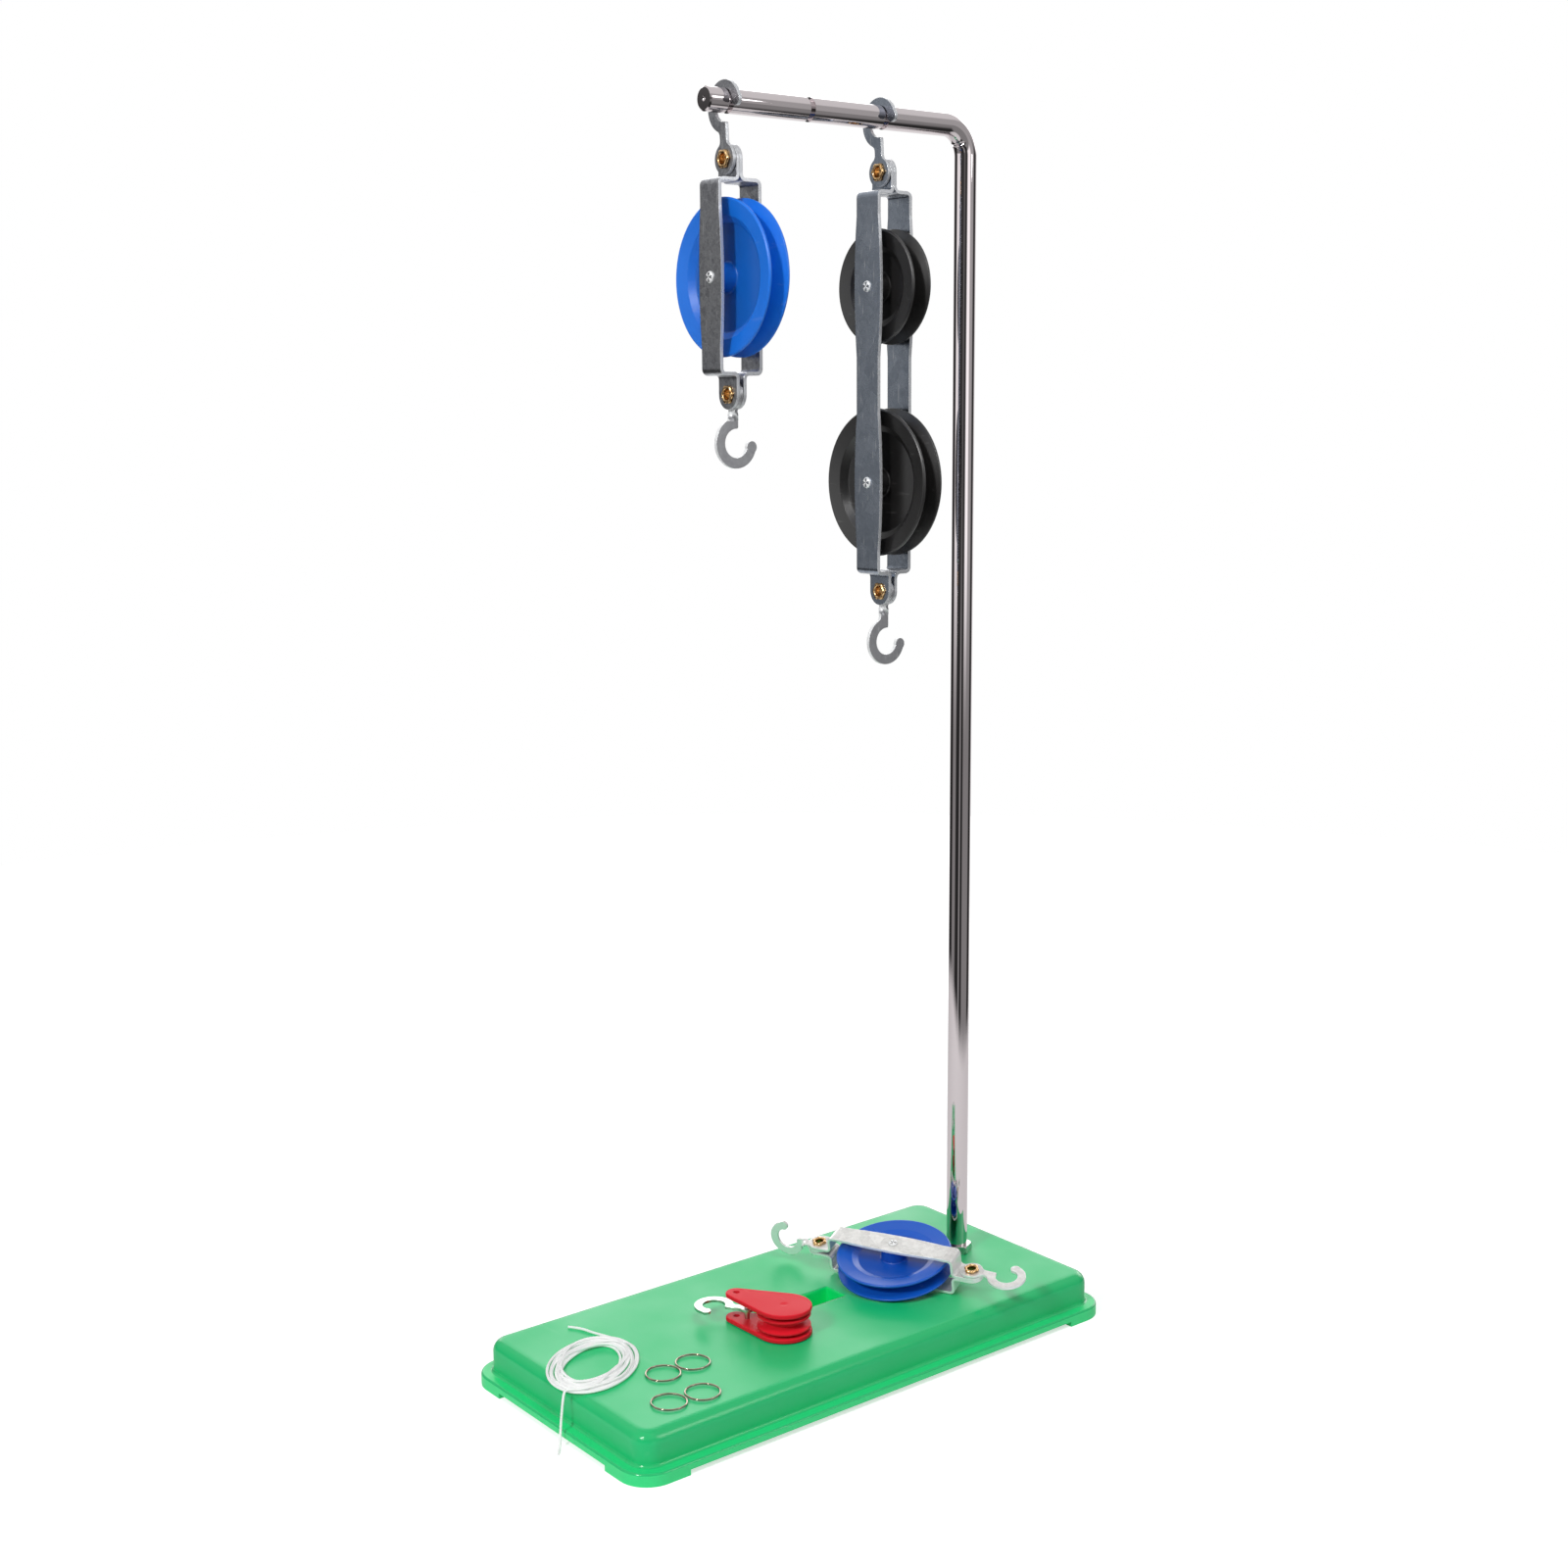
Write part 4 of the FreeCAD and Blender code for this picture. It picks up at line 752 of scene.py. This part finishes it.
# ------------------------------------------------------------------ wire rings
class PULLEY_OT_rings(bpy.types.Operator):
    """Bends the four wire rings, each with a fine slit where its ends meet"""

    bl_idname = "pulley.rings"
    bl_label = "Wire rings"

    # node, body and the direction of the ring's joint in degrees
    rings = (("wire_ring_1", "ring_one", 40), ("wire_ring_2", "ring_two", 205),
             ("wire_ring_3", "ring_three", 150), ("wire_ring_4", "ring_four", 115))
    out_of_round = 0.5 * MM
    sway_mm = 11                # length of the bends that put it out of round
    bends, section_points = 96, 12      # points along the wire and round it

    def tree(self):
        """An almost closed ring of round wire, a little out of round."""
        tree, start, end = geometry_tree("Wire ring", (
            ("Centre", "Vector"), ("Ring Diameter", "Float"), ("Wire Diameter", "Float"),
            ("Joint Gap", "Float"), ("Joint Angle", "Float"), ("Out Of Round", "Float"),
            ("Seed", "Float"), ("Material", "Material")))
        radius = add(tree, "ShaderNodeMath", {"operation": "MULTIPLY"},
                     {0: start["Ring Diameter"], 1: 0.5}).outputs[0]
        slit = add(tree, "ShaderNodeMath", {"operation": "DIVIDE"},
                   {0: start["Joint Gap"], 1: radius}).outputs[0]
        sweep = add(tree, "ShaderNodeMath", {"operation": "SUBTRACT"},
                    {0: TURN, 1: slit}).outputs[0]
        arc = add(tree, "GeometryNodeCurveArc", {"mode": "RADIUS"},
                  {"Resolution": self.bends, "Radius": radius, "Start Angle": start["Joint Angle"],
                   "Sweep Angle": sweep})
        spot = add(tree, "GeometryNodeInputPosition").outputs[0]
        sway = add(tree, "ShaderNodeTexNoise", {"noise_dimensions": "4D"},
                   {"Vector": spot, "W": start["Seed"], "Scale": per(self.sway_mm), "Detail": 0.0})
        level = add(tree, "ShaderNodeVectorMath", {"operation": "SUBTRACT"},
                    {0: sway.outputs["Color"], 1: (0.5, 0.5, 0.5)})
        flat = add(tree, "ShaderNodeVectorMath", {"operation": "MULTIPLY"},
                   {0: level.outputs[0], 1: (1.0, 1.0, 0.0)})
        shift = add(tree, "ShaderNodeVectorMath", {"operation": "SCALE"},
                    {0: flat.outputs[0], "Scale": start["Out Of Round"]})
        bent = add(tree, "GeometryNodeSetPosition",
                   inputs={"Geometry": arc.outputs[0], "Offset": shift.outputs[0]})
        half = add(tree, "ShaderNodeMath", {"operation": "MULTIPLY"},
                   {0: start["Wire Diameter"], 1: 0.5})
        wire = add(tree, "GeometryNodeCurvePrimitiveCircle", {"mode": "RADIUS"},
                   {"Resolution": self.section_points, "Radius": half.outputs[0]})
        swept = add(tree, "GeometryNodeCurveToMesh", inputs={
            "Curve": bent.outputs[0], "Profile Curve": wire.outputs[0], "Fill Caps": True})
        placed = add(tree, "GeometryNodeTransform",
                     inputs={"Geometry": swept.outputs[0], "Translation": start["Centre"]})
        return end(placed.outputs[0])

    def execute(self, context):
        sizes = context.scene.pulley_sizes
        material = drawn_wire("Drawn steel wire", context.scene.pulley_colours.wire)
        tree = self.tree()
        for i, (node, body, degrees) in enumerate(self.rings):
            low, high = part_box(node)
            mesh = grown(tree, node + "_wire", {
                "Centre": (low + high) / 2, "Ring Diameter": sizes.ring,
                "Wire Diameter": sizes.wire, "Joint Gap": sizes.ring_gap,
                "Joint Angle": math.radians(degrees), "Out Of Round": self.out_of_round,
                "Seed": float(i), "Material": material})
            mesh.shade_smooth()
            ring = piece(node + "_wire", mesh, None, body)
            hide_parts(node)
        return {"FINISHED"}


# ------------------------------------------------------------------ base and rod
class PULLEY_OT_base(bpy.types.Operator):
    """Finishes the moulded base"""

    bl_idname = "pulley.base"
    bl_label = "Base"

    # millimetres
    flange_top = 5.6              # below it the flange is painted paler: painted light for light through its thin wall
    flange_blend = 0.3            # to either side of that
    # painted light: the paler green of the flange
    thin = linear("#34E88C")
    edge_radius = 2.2           # between level and upright faces
    soft_above = (3.0, 5.0)     # above flange_top: from where to where the edges turn soft
    # how much of the normal points up, from where an edge begins to where it is full: coming from
    # a level face and coming from an upright one
    off_level, off_upright = (0.995, 0.93), (0.12, 0.45)
    # painted shade: the rounded edges are painted a darker green than the top and walls
    edge = linear("#12C070")
    edge_roughness = 0.18       # the mould is polished there
    slot = (22.0, 6.5)          # half its length and half its width
    slot_play = 0.05
    slot_painted_glow = linear("#06F07E")      # painted glow: a brighter green for the light inside the hollow

    def detail(self, tree, place, paint, rough):
        """Painted light on the flange, painted shade and polish on the rounded edges, softer
        normals, and a painted glow on the slot's walls.
        """
        top, blend = self.flange_top, self.flange_blend
        height = add(tree, "ShaderNodeSeparateXYZ", inputs={0: place}).outputs["Z"]
        # the flange is painted paler: painted light
        low = add(tree, "ShaderNodeMapRange", inputs={
            "Value": height, "From Min": (top + blend) * MM,
            "From Max": (top - blend) * MM}).outputs[0]
        paint = add(tree, "ShaderNodeMix", {"data_type": "RGBA"},
                    {"Factor": low, "A": paint, "B": self.thin}).outputs["Result"]
        softer = add(tree, "ShaderNodeBevel", {"samples": 6}, {"Radius": self.edge_radius * MM})
        smooth = add(tree, "ShaderNodeNewGeometry").outputs["Normal"]
        body = add(tree, "ShaderNodeMapRange", inputs={
            "Value": height, "From Min": (top + self.soft_above[0]) * MM,
            "From Max": (top + self.soft_above[1]) * MM})
        soft = add(tree, "ShaderNodeMix", {"data_type": "VECTOR"},
                   {"Factor": body.outputs[0], "A": smooth,
                    "B": softer.outputs[0]}).outputs["Result"]
        up = add(tree, "ShaderNodeSeparateXYZ", inputs={0: soft}).outputs["Z"]
        level, upright = (add(tree, "ShaderNodeMapRange", inputs={
            "Value": up, "From Min": low, "From Max": high}).outputs[0]
            for low, high in (self.off_level, self.off_upright))
        edge = add(tree, "ShaderNodeMath", {"operation": "MULTIPLY"},
                   {0: level, 1: upright}).outputs[0]
        # the rounded edges are painted darker: painted shade
        paint = add(tree, "ShaderNodeMix", {"data_type": "RGBA"},
                    {"Factor": edge, "A": paint, "B": self.edge}).outputs["Result"]
        # the slot's walls are painted brighter: painted glow
        reach = add(tree, "ShaderNodeVectorMath", {"operation": "ABSOLUTE"}, {0: place})
        reach = add(tree, "ShaderNodeSeparateXYZ", inputs={0: reach.outputs[0]}).outputs
        along, across = (add(tree, "ShaderNodeMath", {"operation": "LESS_THAN"},
                             {0: reach[axis], 1: (half + self.slot_play) * MM}).outputs[0]
                         for axis, half in zip("XY", self.slot))
        within = add(tree, "ShaderNodeMath", {"operation": "MULTIPLY"}, {0: along, 1: across})
        paint = add(tree, "ShaderNodeMix", {"data_type": "RGBA"},
                    {"Factor": within.outputs[0], "A": paint,
                     "B": self.slot_painted_glow}).outputs["Result"]
        rough = add(tree, "ShaderNodeMix", {"data_type": "FLOAT"},
                    {"Factor": edge, "A": rough, "B": self.edge_roughness}).outputs[0]
        return paint, rough, soft

    def execute(self, context):
        green = moulded("Moulded green polypropylene", context.scene.pulley_colours.base,
                        linear("#10C272"), roughness=0.42, ior=1.5, grain_mm=0.8, scuff_mm=5.0,
                        scuff=0.03, detail=self.detail)
        repaint(green, "base_moulding")
        return {"FINISHED"}


class PULLEY_OT_rod(bpy.types.Operator):
    """Bends the rod and finishes it and the fasteners at its foot"""

    bl_idname = "pulley.rod"
    bl_label = "Rod"

    # millimetres and degrees
    bend = 13.0                 # radius of the rod's middle line in its bend
    bend_steps = 90
    stud = 4.0                  # radius of its foot, inside the nuts
    stud_chamfer = 0.8
    grooves = (48.0, 7.0, -35.4)
    groove = (2.6, 1.5)         # width and depth
    chamfer = 0.6
    drill = 1.1                 # radius and depth of the centre mark in the arm's end
    crease = 33.0               # direction from the bend's centre where the inside was pinched
    ridges = (0.12, 0.9, 0.5)   # height, place beside the crease and width
    fold = (0.5, 0.35)          # depth and width of the crease
    steps = 64                  # points around it
    sharp = 30                  # edges with a larger angle stay sharp

    def rows(self):
        """Each row's middle, outward direction and radii for outside and inside, foot to arm."""
        low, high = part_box("support_rod")
        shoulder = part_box("rod_foot_nut")[1].z / MM
        radius = high.y / MM
        column, height = high.x / MM - radius, high.z / MM - radius
        end, foot = low.x / MM, low.z / MM
        rows = [(Vector((column, 0, z)), X_AXIS, r, r)
                for z, r in ((foot, 0.0), (foot, self.stud - self.stud_chamfer),
                             (foot + self.stud_chamfer, self.stud), (shoulder, self.stud),
                             (shoulder, radius))]
        middle = Vector((column - self.bend, 0, height - self.bend))
        high_ridge, beside, wide_ridge = self.ridges
        depth, width = self.fold
        for i in range(self.bend_steps + 1):
            degrees = 90 * i / self.bend_steps
            turn = math.radians(degrees)
            away = X_AXIS * math.cos(turn) + Z_AXIS * math.sin(turn)
            along = math.radians(degrees - self.crease) * (self.bend - radius)
            pinch = high_ridge * math.exp(-((abs(along) - beside) / wide_ridge) ** 2)
            pinch -= depth * math.exp(-(along / width) ** 2)
            rows.append((middle + away * self.bend, away, radius, radius + pinch))
        half, depth = self.groove[0] / 2, self.groove[1]
        arm = [(x, r) for at in self.grooves
               for x, r in ((at + half, radius), (at + half, radius - depth),
                            (at - half, radius - depth), (at - half, radius))]
        arm += [(end + self.chamfer, radius), (end, radius - self.chamfer), (end, self.drill),
                (end + self.drill, 0.0)]
        return rows + [(Vector((x, 0, height)), Z_AXIS, r, r) for x, r in arm]

    def mesh(self):
        """The rod as one closed skin, pinched to a crease on the inside of its bend."""
        points, rows = [], self.rows()
        for middle, away, outside, inside in rows:
            for j in range(self.steps):
                angle = TURN * j / self.steps
                # 0 on the outer side, 1 on the inner, and a smooth step between them
                turned = min(max(-3.0 * math.cos(angle) - 1.4, 0.0), 1.0)
                r = outside + (inside - outside) * turned * turned * (3 - 2 * turned)
                place = middle + away * (r * math.cos(angle)) + Y_AXIS * (r * math.sin(angle))
                points.append(place * MM)
        mesh = mesh_from("support_rod_bent", points, skin(len(rows), self.steps))
        mesh.set_sharp_from_angle(angle=math.radians(self.sharp))
        return mesh

    def execute(self, context):
        colours = context.scene.pulley_colours
        chrome = chromed("Polished chrome plating", colours.chrome)
        rod = piece("support_rod_bent", self.mesh(), chrome, "base")
        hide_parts("support_rod")
        nuts = zinc_plated("Zinc plated nuts", colours.zinc, linear("#A4A3A0"), mottle_mm=1.5,
                           contrast=0.3, roughness=0.28, scratches=0.2)
        repaint(nuts, "rod_foot_nut", "rod_washer", "rod_lock_nut")
        return {"FINISHED"}


# ------------------------------------------------------------------ metal blocks
class PULLEY_OT_blocks(bpy.types.Operator):
    """Finishes the strips and hooks of the metal blocks"""

    bl_idname = "pulley.blocks"
    bl_label = "Strips and hooks"

    # name, light and dark colour, mottle in millimetres, its contrast, roughness and scratches
    tumbled = ("tumbled", linear("#C6C8CC"), linear("#7E7E84"), 1.0, 0.22, 0.3, 0.4)
    blue = ("blue passivated", linear("#ACB4C0"), linear("#7E8692"), 3.0, 0.3, 0.27, 0.5)
    bright = ("bright", linear("#F2F1EE"), linear("#C4C3C0"), 3.0, 0.24, 0.34, 0.8)
    worn = ("bright", linear("#B0B1B4"), linear("#929296"), 2.0, 0.3, 0.42, 0.3)
    # pale sheared sides of the plates: partly a frosted finish, partly painted highlight
    sheared = linear("#C6C8CC")
    bloom = 0.8                 # share of metal under the white bloom of bright zinc

    def paint(self, block, look, part, ends, across, metal, sheared):
        """Finishes the block's nodes whose names have these ends."""
        material = zinc_plated("Zinc plating, " + look[0] + ", " + part, *look[1:], across, metal,
                               sheared)
        repaint(material, *(name for name in frame["nodes"]
                            if name.startswith(block) and name.endswith(ends)))

    def execute(self, context):
        plates, hook = ("strip", "upper_hook", "axle"), ("lower_hook",)
        for block, look in (("single", self.tumbled), ("tandem", self.blue)):
            self.paint(block, look, "plates", plates, X_AXIS, metal=1.0, sheared=self.sheared)
            self.paint(block, self.worn, "load hook", hook, Y_AXIS, self.bloom, sheared=BRIGHT)
        across = joint("small_wheel_spin")[1]
        for part, ends in (("plates", plates), ("load hook", hook)):
            self.paint("small", self.bright, part, ends, across, self.bloom, sheared=BRIGHT)
        return {"FINISHED"}


class PULLEY_OT_eyelets(bpy.types.Operator):
    """Rolls the six brass eyelets"""

    bl_idname = "pulley.eyelets"
    bl_label = "Eyelets"

    # eyelet's node, the body that holds it and the joint whose pin it is
    eyelets = (("single_upper_eyelet", "single_block", "single_eye_swing"),
               ("single_lower_eyelet", "single_block", "single_hook_swing"),
               ("tandem_upper_eyelet", "tandem_block", "tandem_eye_swing"),
               ("tandem_lower_eyelet", "tandem_block", "tandem_hook_swing"),
               ("small_upper_eyelet", "small_block", "small_plain_hook_swing"),
               ("small_lower_eyelet", "small_block", "small_turned_hook_swing"))
    large = (2.2 * MM, 2.75 * MM, 3.8 * MM)     # bore, barrel and flange radii
    small = (1.9 * MM, 2.4 * MM, 3.3 * MM)
    roll = 1.0 * MM             # height of the rolled rim
    corners = 6
    steps = 48                  # points around it
    bore_skin = 0.25 * MM       # from the bore out, the faces with the dark finish: tarnish and painted shade

    def mesh(self, name, place, axis, low, high, radii, corner):
        """A tube rolled over outside both its ends, its rims pressed to six soft corners."""
        bore, barrel, flange = radii
        inside = (low + self.roll, high - self.roll)
        # how far below the top in rolls, and the radius
        rim = ((0.9, bore), (0.35, bore + 0.08 * MM), (0.06, bore + 0.34 * MM),
               (0.0, (bore + flange) / 2 - 0.1 * MM), (0.1, flange - 0.42 * MM),
               (0.42, flange - 0.08 * MM), (0.8, flange), (1.0, flange - 0.05 * MM), (1.0, barrel))
        profile = [(high - self.roll * down, r) for down, r in rim]
        profile += [(sum(inside) - x, r) for x, r in reversed(profile)]
        turn = axis.to_track_quat("X", "Z").to_matrix()
        points = []
        for along, radius in profile:
            lobe = max(0.0, (radius - bore) / (flange - bore))
            for j in range(self.steps):
                angle = TURN * j / self.steps
                r = radius + corner * lobe * math.cos(self.corners * angle)
                spot = Vector((along, r * math.cos(angle), r * math.sin(angle)))
                points.append(place + turn @ spot)
        mesh = mesh_from(name, points, skin(len(profile), self.steps, closed=True))
        for face in mesh.polygons:
            away = face.center - place
            if (away - axis * away.dot(axis)).length < bore + self.bore_skin:
                face.material_index = 1
        return mesh

    def execute(self, context):
        material = drawn_brass("Drawn brass", context.scene.pulley_colours.brass,
                               linear("#8A6236"), share=0.45, roughness=0.2)
        # the bore's dark browns: tarnish and painted shade
        bored = drawn_brass("Tarnished brass in the bore with painted shade", linear("#5E3C26"), linear("#2C1A12"),
                            share=0.5, roughness=0.4)
        corner = context.scene.pulley_sizes.eyelet_corner
        for node, body, pin in self.eyelets:
            place, axis = joint(pin)
            low, high = span(node, place, axis)
            radii = self.small if node.startswith("small") else self.large
            mesh = self.mesh(node + "_rolled", place, axis, low, high, radii, corner)
            rolled = piece(node + "_rolled", mesh, material, body)
            mesh.materials.append(bored)
            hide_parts(node)
        return {"FINISHED"}


class PULLEY_OT_rivets(bpy.types.Operator):
    """Peens the ends of the sheaves' axles, each head staked with a cross"""

    bl_idname = "pulley.rivets"
    bl_label = "Rivet heads"

    # axle's node, the body that holds it, the joint whose pin it is and the head's radius
    axles = (("single_axle", "single_block", "single_wheel_spin", 2.5 * MM),
             ("tandem_upper_axle", "tandem_block", "tandem_upper_spin", 2.5 * MM),
             ("tandem_lower_axle", "tandem_block", "tandem_lower_spin", 2.5 * MM),
             ("small_axle", "small_block", "small_wheel_spin", 2.3 * MM))
    height = 0.95 * MM          # of the dome
    seat = 0.8 * MM             # from the axle's end back to the dome's foot
    rings, steps = 9, 32        # of its mesh
    cross = (0.5, 0.22)         # its four dents: how far out, and their width, in radii
    middle = (0.4, 0.2)         # the dip in its middle: depth in dents, width in radii
    painted_dent_shade = (0.12, 0.8)     # from where to where the dents are painted dark, painted shade, in radii

    def head(self, radius, stake):
        """One domed head on the YZ plane, rising to +X, with four dents round its middle."""
        rings, steps = self.rings, self.steps
        out, width = self.cross
        deep, wide = self.middle
        points = [(self.height - stake * deep, 0.0, 0.0)]
        for i in range(1, rings + 1):
            share = i / rings
            for j in range(steps):
                angle = TURN * j / steps
                dome = self.height * (1 - share ** 4) ** 0.5
                dent = stake * math.cos(2 * angle) ** 8 * math.exp(-((share - out) / width) ** 2)
                dip = stake * deep * math.exp(-(share / wide) ** 2)
                points.append((max(dome - dent - dip, 0.0), radius * share * math.cos(angle),
                               radius * share * math.sin(angle)))
        points.append((0.0, 0.0, 0.0))
        faces = [(0, 1 + j, 1 + (j + 1) % steps) for j in range(steps)]
        faces += [tuple(1 + k for k in (a, d, c, b)) for a, b, c, d in skin(rings, steps)]
        rim = 1 + (rings - 1) * steps
        faces += [(rim + j, len(points) - 1, rim + (j + 1) % steps) for j in range(steps)]
        mesh = mesh_from("rivet_head", points, faces)
        marks = mesh.attributes.new("Dent", "BOOLEAN", "FACE")
        low, high = self.painted_dent_shade
        for face, mark in zip(mesh.polygons, marks.data):
            share = Vector(face.center.yz).length / radius
            angle = math.atan2(face.center.z, face.center.y)
            mark.value = low < share < high and math.cos(2 * angle) ** 8 > 0.1
        return mesh

    def tree(self):
        """Sets one head at each end of a pin."""
        tree, start, end = geometry_tree("Pin ends", (
            ("Geometry", "Geometry"), ("High End", "Float"), ("Low End", "Float"),
            ("Centre", "Vector"), ("Turn", "Rotation"), ("Material", "Material"),
            ("Dent Material", "Material")))
        both = add(tree, "GeometryNodeJoinGeometry")
        for label, turn in (("High End", 0.0), ("Low End", math.pi)):
            out = add(tree, "ShaderNodeCombineXYZ", inputs={"X": start[label]})
            one = add(tree, "GeometryNodeTransform", inputs={
                "Geometry": start["Geometry"], "Translation": out.outputs[0],
                "Rotation": (0.0, 0.0, turn)})
            tree.links.new(one.outputs[0], both.inputs[0])
        placed = add(tree, "GeometryNodeTransform",
                     inputs={"Geometry": both.outputs[0], "Translation": start["Centre"],
                             "Rotation": start["Turn"]})
        dent = add(tree, "GeometryNodeInputNamedAttribute", {"data_type": "BOOLEAN"},
                   {"Name": "Dent"})
        return end(placed.outputs[0], dent.outputs["Attribute"])

    def execute(self, context):
        # a dome has no side that is square to a sheet, so all of it is frosted
        material = zinc_plated("Peened steel", BRIGHT, linear("#D9DBDD"), mottle_mm=0.6,
                               contrast=0.25, roughness=0.3, scratches=0.6,
                               across=Vector((0.0, 0.0, 0.0)), metal=0.7)
        # the dents are painted dark: painted shade in the stake marks
        dent = zinc_plated("Staked steel, blackened", linear("#3A3A3E"), linear("#1C1C1F"),
                           mottle_mm=0.6, contrast=0.25, roughness=0.45, scratches=0.0)
        tree = self.tree()
        for node, body, pin, radius in self.axles:
            place, axis = joint(pin)
            low, high = span(node, place, axis)
            mesh = grown(tree, node + "_heads", {
                "High End": high - self.seat, "Low End": low + self.seat, "Centre": place,
                "Turn": axis.to_track_quat("X", "Z").to_euler(), "Material": material,
                "Dent Material": dent}, self.head(radius, context.scene.pulley_sizes.stake))
            piece(node + "_heads", mesh, None, body)
        return {"FINISHED"}


# ------------------------------------------------------------------ sheaves and plastic block
class PULLEY_OT_sheaves(bpy.types.Operator):
    """Finishes the grooved wheels of the metal blocks"""

    bl_idname = "pulley.sheaves"
    bl_label = "Sheaves"

    blend = 0.4                 # millimetres to either side of the web's edge

    def web(self, pin, reach, web_painted_shade):
        """Paints a wheel's web, out to a radius in millimetres, darker than its rim: painted shade
        of the recess.
        """
        centre, axis = joint(pin)

        def detail(tree, place, paint, rough):
            arm = add(tree, "ShaderNodeVectorMath", {"operation": "SUBTRACT"},
                      {0: place, 1: centre})
            out = add(tree, "ShaderNodeVectorMath", {"operation": "CROSS_PRODUCT"},
                      {0: arm.outputs[0], 1: axis})
            radius = add(tree, "ShaderNodeVectorMath", {"operation": "LENGTH"}, {0: out.outputs[0]})
            inside = add(tree, "ShaderNodeMapRange", inputs={
                "Value": radius.outputs["Value"], "From Min": (reach + self.blend) * MM,
                "From Max": (reach - self.blend) * MM})
            # painted shade on the web
            paint = add(tree, "ShaderNodeMix", {"data_type": "RGBA"},
                        {"Factor": inside.outputs[0], "A": paint, "B": web_painted_shade}).outputs["Result"]
            return paint, rough, None

        return detail

    def execute(self, context):
        colours = context.scene.pulley_colours
        # the web colours given below are painted shade
        blue = moulded("Moulded blue polypropylene", colours.blue, linear("#0F6AD6"),
                       roughness=0.38, ior=1.49, grain_mm=0.7, scuff_mm=3.0, scuff=0.1, weight=0.06,
                       detail=self.web("single_wheel_spin", 22.0, linear("#1060BC")))
        black = moulded("Moulded black ABS", colours.black, linear("#1A1818"),
                        roughness=0.38, ior=1.54, grain_mm=0.5, scuff_mm=1.6, scuff=0.1,
                        specular=0.8)
        deep = moulded("Moulded deep blue polypropylene", linear("#1264D4"), linear("#0F56C0"),
                       roughness=0.3, ior=1.49, grain_mm=0.7, scuff_mm=3.0, scuff=0.1, weight=0.3,
                       detail=self.web("small_wheel_spin", 17.0, linear("#1050B4")))
        repaint(blue, "single_sheave")
        repaint(black, "tandem_upper_sheave", "tandem_lower_sheave")
        repaint(deep, "small_sheave")
        return {"FINISHED"}


class PULLEY_OT_plastic_block(bpy.types.Operator):
    """Finishes the red block and its hook"""

    bl_idname = "pulley.plastic_block"
    bl_label = "Plastic block"

    def execute(self, context):
        red = moulded("Moulded red polystyrene", context.scene.pulley_colours.red,
                      linear("#E41E2E"), roughness=0.45, ior=1.5, grain_mm=0.6, scuff_mm=2.5,
                      scuff=0.1, weight=0.1, specular=0.12)
        nickel = zinc_plated("Nickel plated hook", linear("#E2DFD8"), linear("#B9B6AE"),
                             mottle_mm=2.0, contrast=0.3, roughness=0.3, scratches=0.3)
        repaint(red, "plastic_low_cheek", "plastic_high_cheek", "plastic_axle", "plastic_sheave")
        repaint(nickel, "plastic_hook_pin", "plastic_hook")
        return {"FINISHED"}


# ------------------------------------------------------------------ panel
class PULLEY_PT_pieces(bpy.types.Panel):
    """Lists the pieces"""

    bl_label = "Pulley demonstrator"
    bl_idname = "PULLEY_PT_pieces"
    bl_space_type = "VIEW_3D"
    bl_region_type = "UI"
    bl_category = "Pulleys"

    def draw(self, context):
        for group in (context.scene.pulley_sizes, context.scene.pulley_colours):
            for name in group.bl_rna.properties.keys():
                if name not in ("rna_type", "name"):
                    self.layout.prop(group, name)
        for operator in OPERATORS:
            self.layout.operator(operator.bl_idname)


OPERATORS = (PULLEY_OT_stage, PULLEY_OT_string, PULLEY_OT_rings, PULLEY_OT_base, PULLEY_OT_rod,
             PULLEY_OT_blocks, PULLEY_OT_eyelets, PULLEY_OT_rivets, PULLEY_OT_sheaves,
             PULLEY_OT_plastic_block)
CLASSES = (PulleyColours, PulleySizes) + OPERATORS + (PULLEY_PT_pieces,)


def register():
    for kind in CLASSES:
        bpy.utils.register_class(kind)
    bpy.types.Scene.pulley_colours = PointerProperty(type=PulleyColours)
    bpy.types.Scene.pulley_sizes = PointerProperty(type=PulleySizes)


def unregister():
    del bpy.types.Scene.pulley_sizes
    del bpy.types.Scene.pulley_colours
    for kind in reversed(CLASSES):
        bpy.utils.unregister_class(kind)


def main():
    register()
    bpy.ops.pulley.stage()
    bpy.ops.pulley.string()
    bpy.ops.pulley.rings()
    bpy.ops.pulley.base()
    bpy.ops.pulley.rod()
    bpy.ops.pulley.blocks()
    bpy.ops.pulley.eyelets()
    bpy.ops.pulley.rivets()
    bpy.ops.pulley.sheaves()
    bpy.ops.pulley.plastic_block()


if __name__ == "__main__":
    main()
